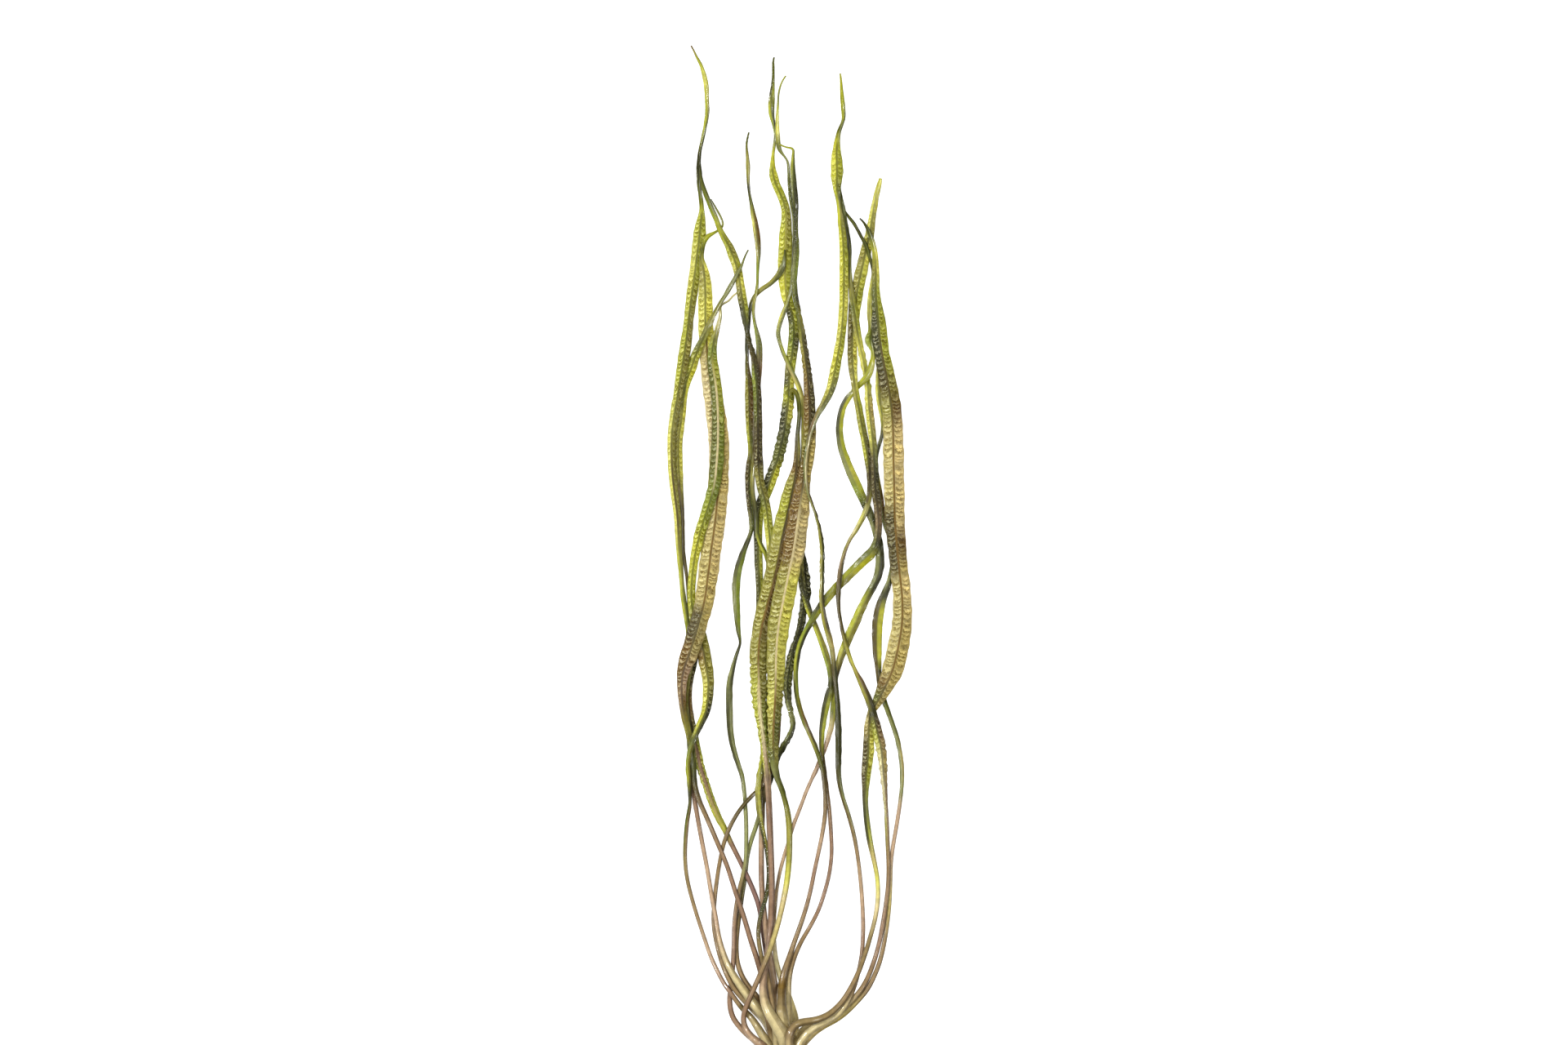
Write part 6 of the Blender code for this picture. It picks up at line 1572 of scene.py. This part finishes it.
set_attribute(bulb_mesh, "papery", "FLOAT", np.clip(papery, 0.0, 1.0))
bulb_mesh.shade_smooth()
bulb_mesh.update()
print("skin is pushed out by up to", round(bulge.max(), 2), "mm")

# %% [markdown]
# The colour runs from brown at the basal plate over cream to a greener neck.  Fine streaks lie along
# the bulb, and the papery edges are browned.

# %% Bulb skin
# Share of the way from the basal plate to the neck, and the tone there.
BULB_TONES = [
    (0.0, tone(150, 116, 74)), (0.12, tone(196, 180, 138)), (0.55, tone(204, 192, 150)),
    (0.85, tone(186, 176, 118)), (1.0, tone(172, 158, 104)),
]
PAPERY_TONE = tone(168, 128, 78)
STREAK_SCALE = (420.0, 28.0, 420.0)

bulb_skin = Finish("bulb_skin")
place = bulb_skin.add("TexCoord").outputs["Object"]
stretch = bulb_skin.add("Mapping", vector=place)
stretch.inputs["Scale"].default_value = STREAK_SCALE
streaks = bulb_skin.add("TexNoise", vector=stretch.outputs["Vector"], scale=1.0, detail=4.0)
place_parts = bulb_skin.add("SeparateXYZ", vector=place)
along_bulb = bulb_skin.spread(place_parts.outputs["Y"], -0.0245, 0.033, 0.0, 1.0)
dryness = bulb_skin.spread(bulb_skin.attribute("papery"), 0.1, 0.9, 0.0, 0.75)
browned = bulb_skin.mixed(dryness, bulb_skin.ramp(along_bulb, BULB_TONES), PAPERY_TONE)
streaked = bulb_skin.scaled(browned, bulb_skin.spread(streaks.outputs["Fac"], 0.3, 0.75, 0.86, 1.08))
bulb_skin.surface({
    "Base Color": streaked,
    "Roughness": 0.42,
    "Subsurface Weight": 0.15,
    "Subsurface Scale": 0.004,
    "Normal": bulb_skin.bump(streaks.outputs["Fac"], strength=0.4, distance=0.0004),
})
bulb_mesh.materials.append(bulb_skin.material)

bulb_body = bpy.data.objects.new("bulb_body", bulb_mesh)
bpy.context.scene.collection.objects.link(bulb_body)
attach(bulb_body, "root")
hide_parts("bulb")
print("bulb skin has", len(bulb_skin.tree.nodes), "nodes")

# %% [markdown]
# ## The roots
#
# The roots of such a bulb are fleshy, cream-white strings, trimmed for the shop.  They droop from
# the basal plate to the surface.

# %% Routes of the roots
ROOTS = {
    "root_1": [
        (-3.6, -24.2, 15), (-7, -31, 12), (-11, -38, 6.5), (-15, -45, 2.4), (-19, -54, 1.4),
        (-21, -64, 1.4), (-26, -72, 1.4),
    ],
    "root_2": [
        (-2.2, -24.2, 19.6), (-4, -33, 17), (-6, -42, 10), (-8.5, -50, 3.6), (-10, -59, 1.4),
        (-9, -69, 1.4), (-12, -79, 1.4), (-16, -86, 1.4),
    ],
    "root_3": [
        (-0.6, -24.2, 13.2), (-1, -31, 9), (-1.5, -38, 4), (-2, -46, 1.5), (-4, -56, 1.4), (-3, -66, 1.4),
    ],
    "root_4": [
        (1.4, -24.2, 18.4), (2.4, -33, 16.4), (3, -43, 9.4), (4, -52, 3), (5.4, -62, 1.4), (4, -73, 1.4),
        (5, -84, 1.4), (9, -92, 1.4),
    ],
    "root_5": [
        (2.6, -24.2, 14), (5, -31, 10.6), (8, -38, 5.4), (11, -46, 2), (12, -56, 1.4), (16, -66, 1.4),
        (17, -75, 1.4),
    ],
    "root_6": [
        (4.4, -24.2, 17.4), (9, -29, 15), (15, -35, 9), (20, -42, 3.4), (24, -50, 1.5), (25, -60, 1.4),
        (30, -68, 1.4),
    ],
}
print("the longest root reaches", max(-points[-1][1] for points in ROOTS.values()), "mm back")

# %% [markdown]
# Their skin is cream with brown patches, and a little bumpy.

# %% Root skin
ROOT_TONES = [(0.3, tone(176, 146, 100)), (0.52, tone(230, 218, 188))]

root_skin = Finish("root_skin")
place = root_skin.add("TexCoord").outputs["Object"]
patches = root_skin.add("TexNoise", vector=place, scale=140.0, detail=4.0)
root_skin.surface({
    "Base Color": root_skin.ramp(patches.outputs["Fac"], ROOT_TONES),
    "Roughness": 0.48,
    "Normal": root_skin.bump(patches.outputs["Fac"], strength=0.35, distance=0.0004),
})
print("root skin has", len(root_skin.tree.nodes), "nodes")

# %% [markdown]
# Each root is a round tube along its route, a little uneven, and it narrows to a blunt tip.

# %% Root builder
ROOT_RADIUS = 1.15
ROOT_CLEARANCE = 0.1
ROOT_NARROWING = 0.35
ROOT_UNEVENNESS = 0.06
FIRST_ROOT_SEED = 100


def root_guide(name, points, rng):
    """A curve along the route of a root that carries its slightly uneven thickness."""
    route = smooth_curve(points, 14)
    route[:, 2] = np.maximum(route[:, 2], ROOT_RADIUS + ROOT_CLEARANCE)
    share = np.linspace(0.0, 1.0, len(route))
    thickness = (1.0 - ROOT_NARROWING * share) * np.sqrt(np.clip((1.0 - share) / 0.02, 0.05, 1.0))
    thickness *= 1.0 + ROOT_UNEVENNESS * slow_wave(rng, share * 60.0, 3.0, 14.0)
    curve = bpy.data.curves.new(name, "CURVE")
    curve.dimensions = "3D"
    curve.bevel_depth = ROOT_RADIUS * MM
    curve.bevel_resolution = 5
    curve.use_fill_caps = True
    spline = curve.splines.new("POLY")
    spline.points.add(len(route) - 1)
    for point, (x, y, z), size in zip(spline.points, route, thickness):
        point.co = (x * MM, y * MM, z * MM, 1.0)
        point.radius = float(size)
    curve.materials.append(root_skin.material)
    return bpy.data.objects.new(name + "_guide", curve)


def make_root(name, points, rng):
    """A root as a round tube, made into a mesh whose caps are joined to it."""
    guide = root_guide(name, points, rng)
    bpy.context.scene.collection.objects.link(guide)
    bpy.context.view_layer.update()
    tube = bpy.data.meshes.new_from_object(guide.evaluated_get(bpy.context.evaluated_depsgraph_get()))
    bpy.data.objects.remove(guide, do_unlink=True)
    caps = bmesh.new()
    caps.from_mesh(tube)
    bmesh.ops.remove_doubles(caps, verts=caps.verts, dist=0.00001)
    caps.to_mesh(tube)
    caps.free()
    tube.shade_smooth()
    root = bpy.data.objects.new(name + "_string", tube)
    bpy.context.scene.collection.objects.link(root)
    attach(root, "root")
    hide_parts(name)
    return root


roots = [
    make_root(name, points, np.random.default_rng(FIRST_ROOT_SEED + order))
    for order, (name, points) in enumerate(ROOTS.items())
]
print(len(roots), "roots with", sum(len(root.data.polygons) for root in roots), "faces")
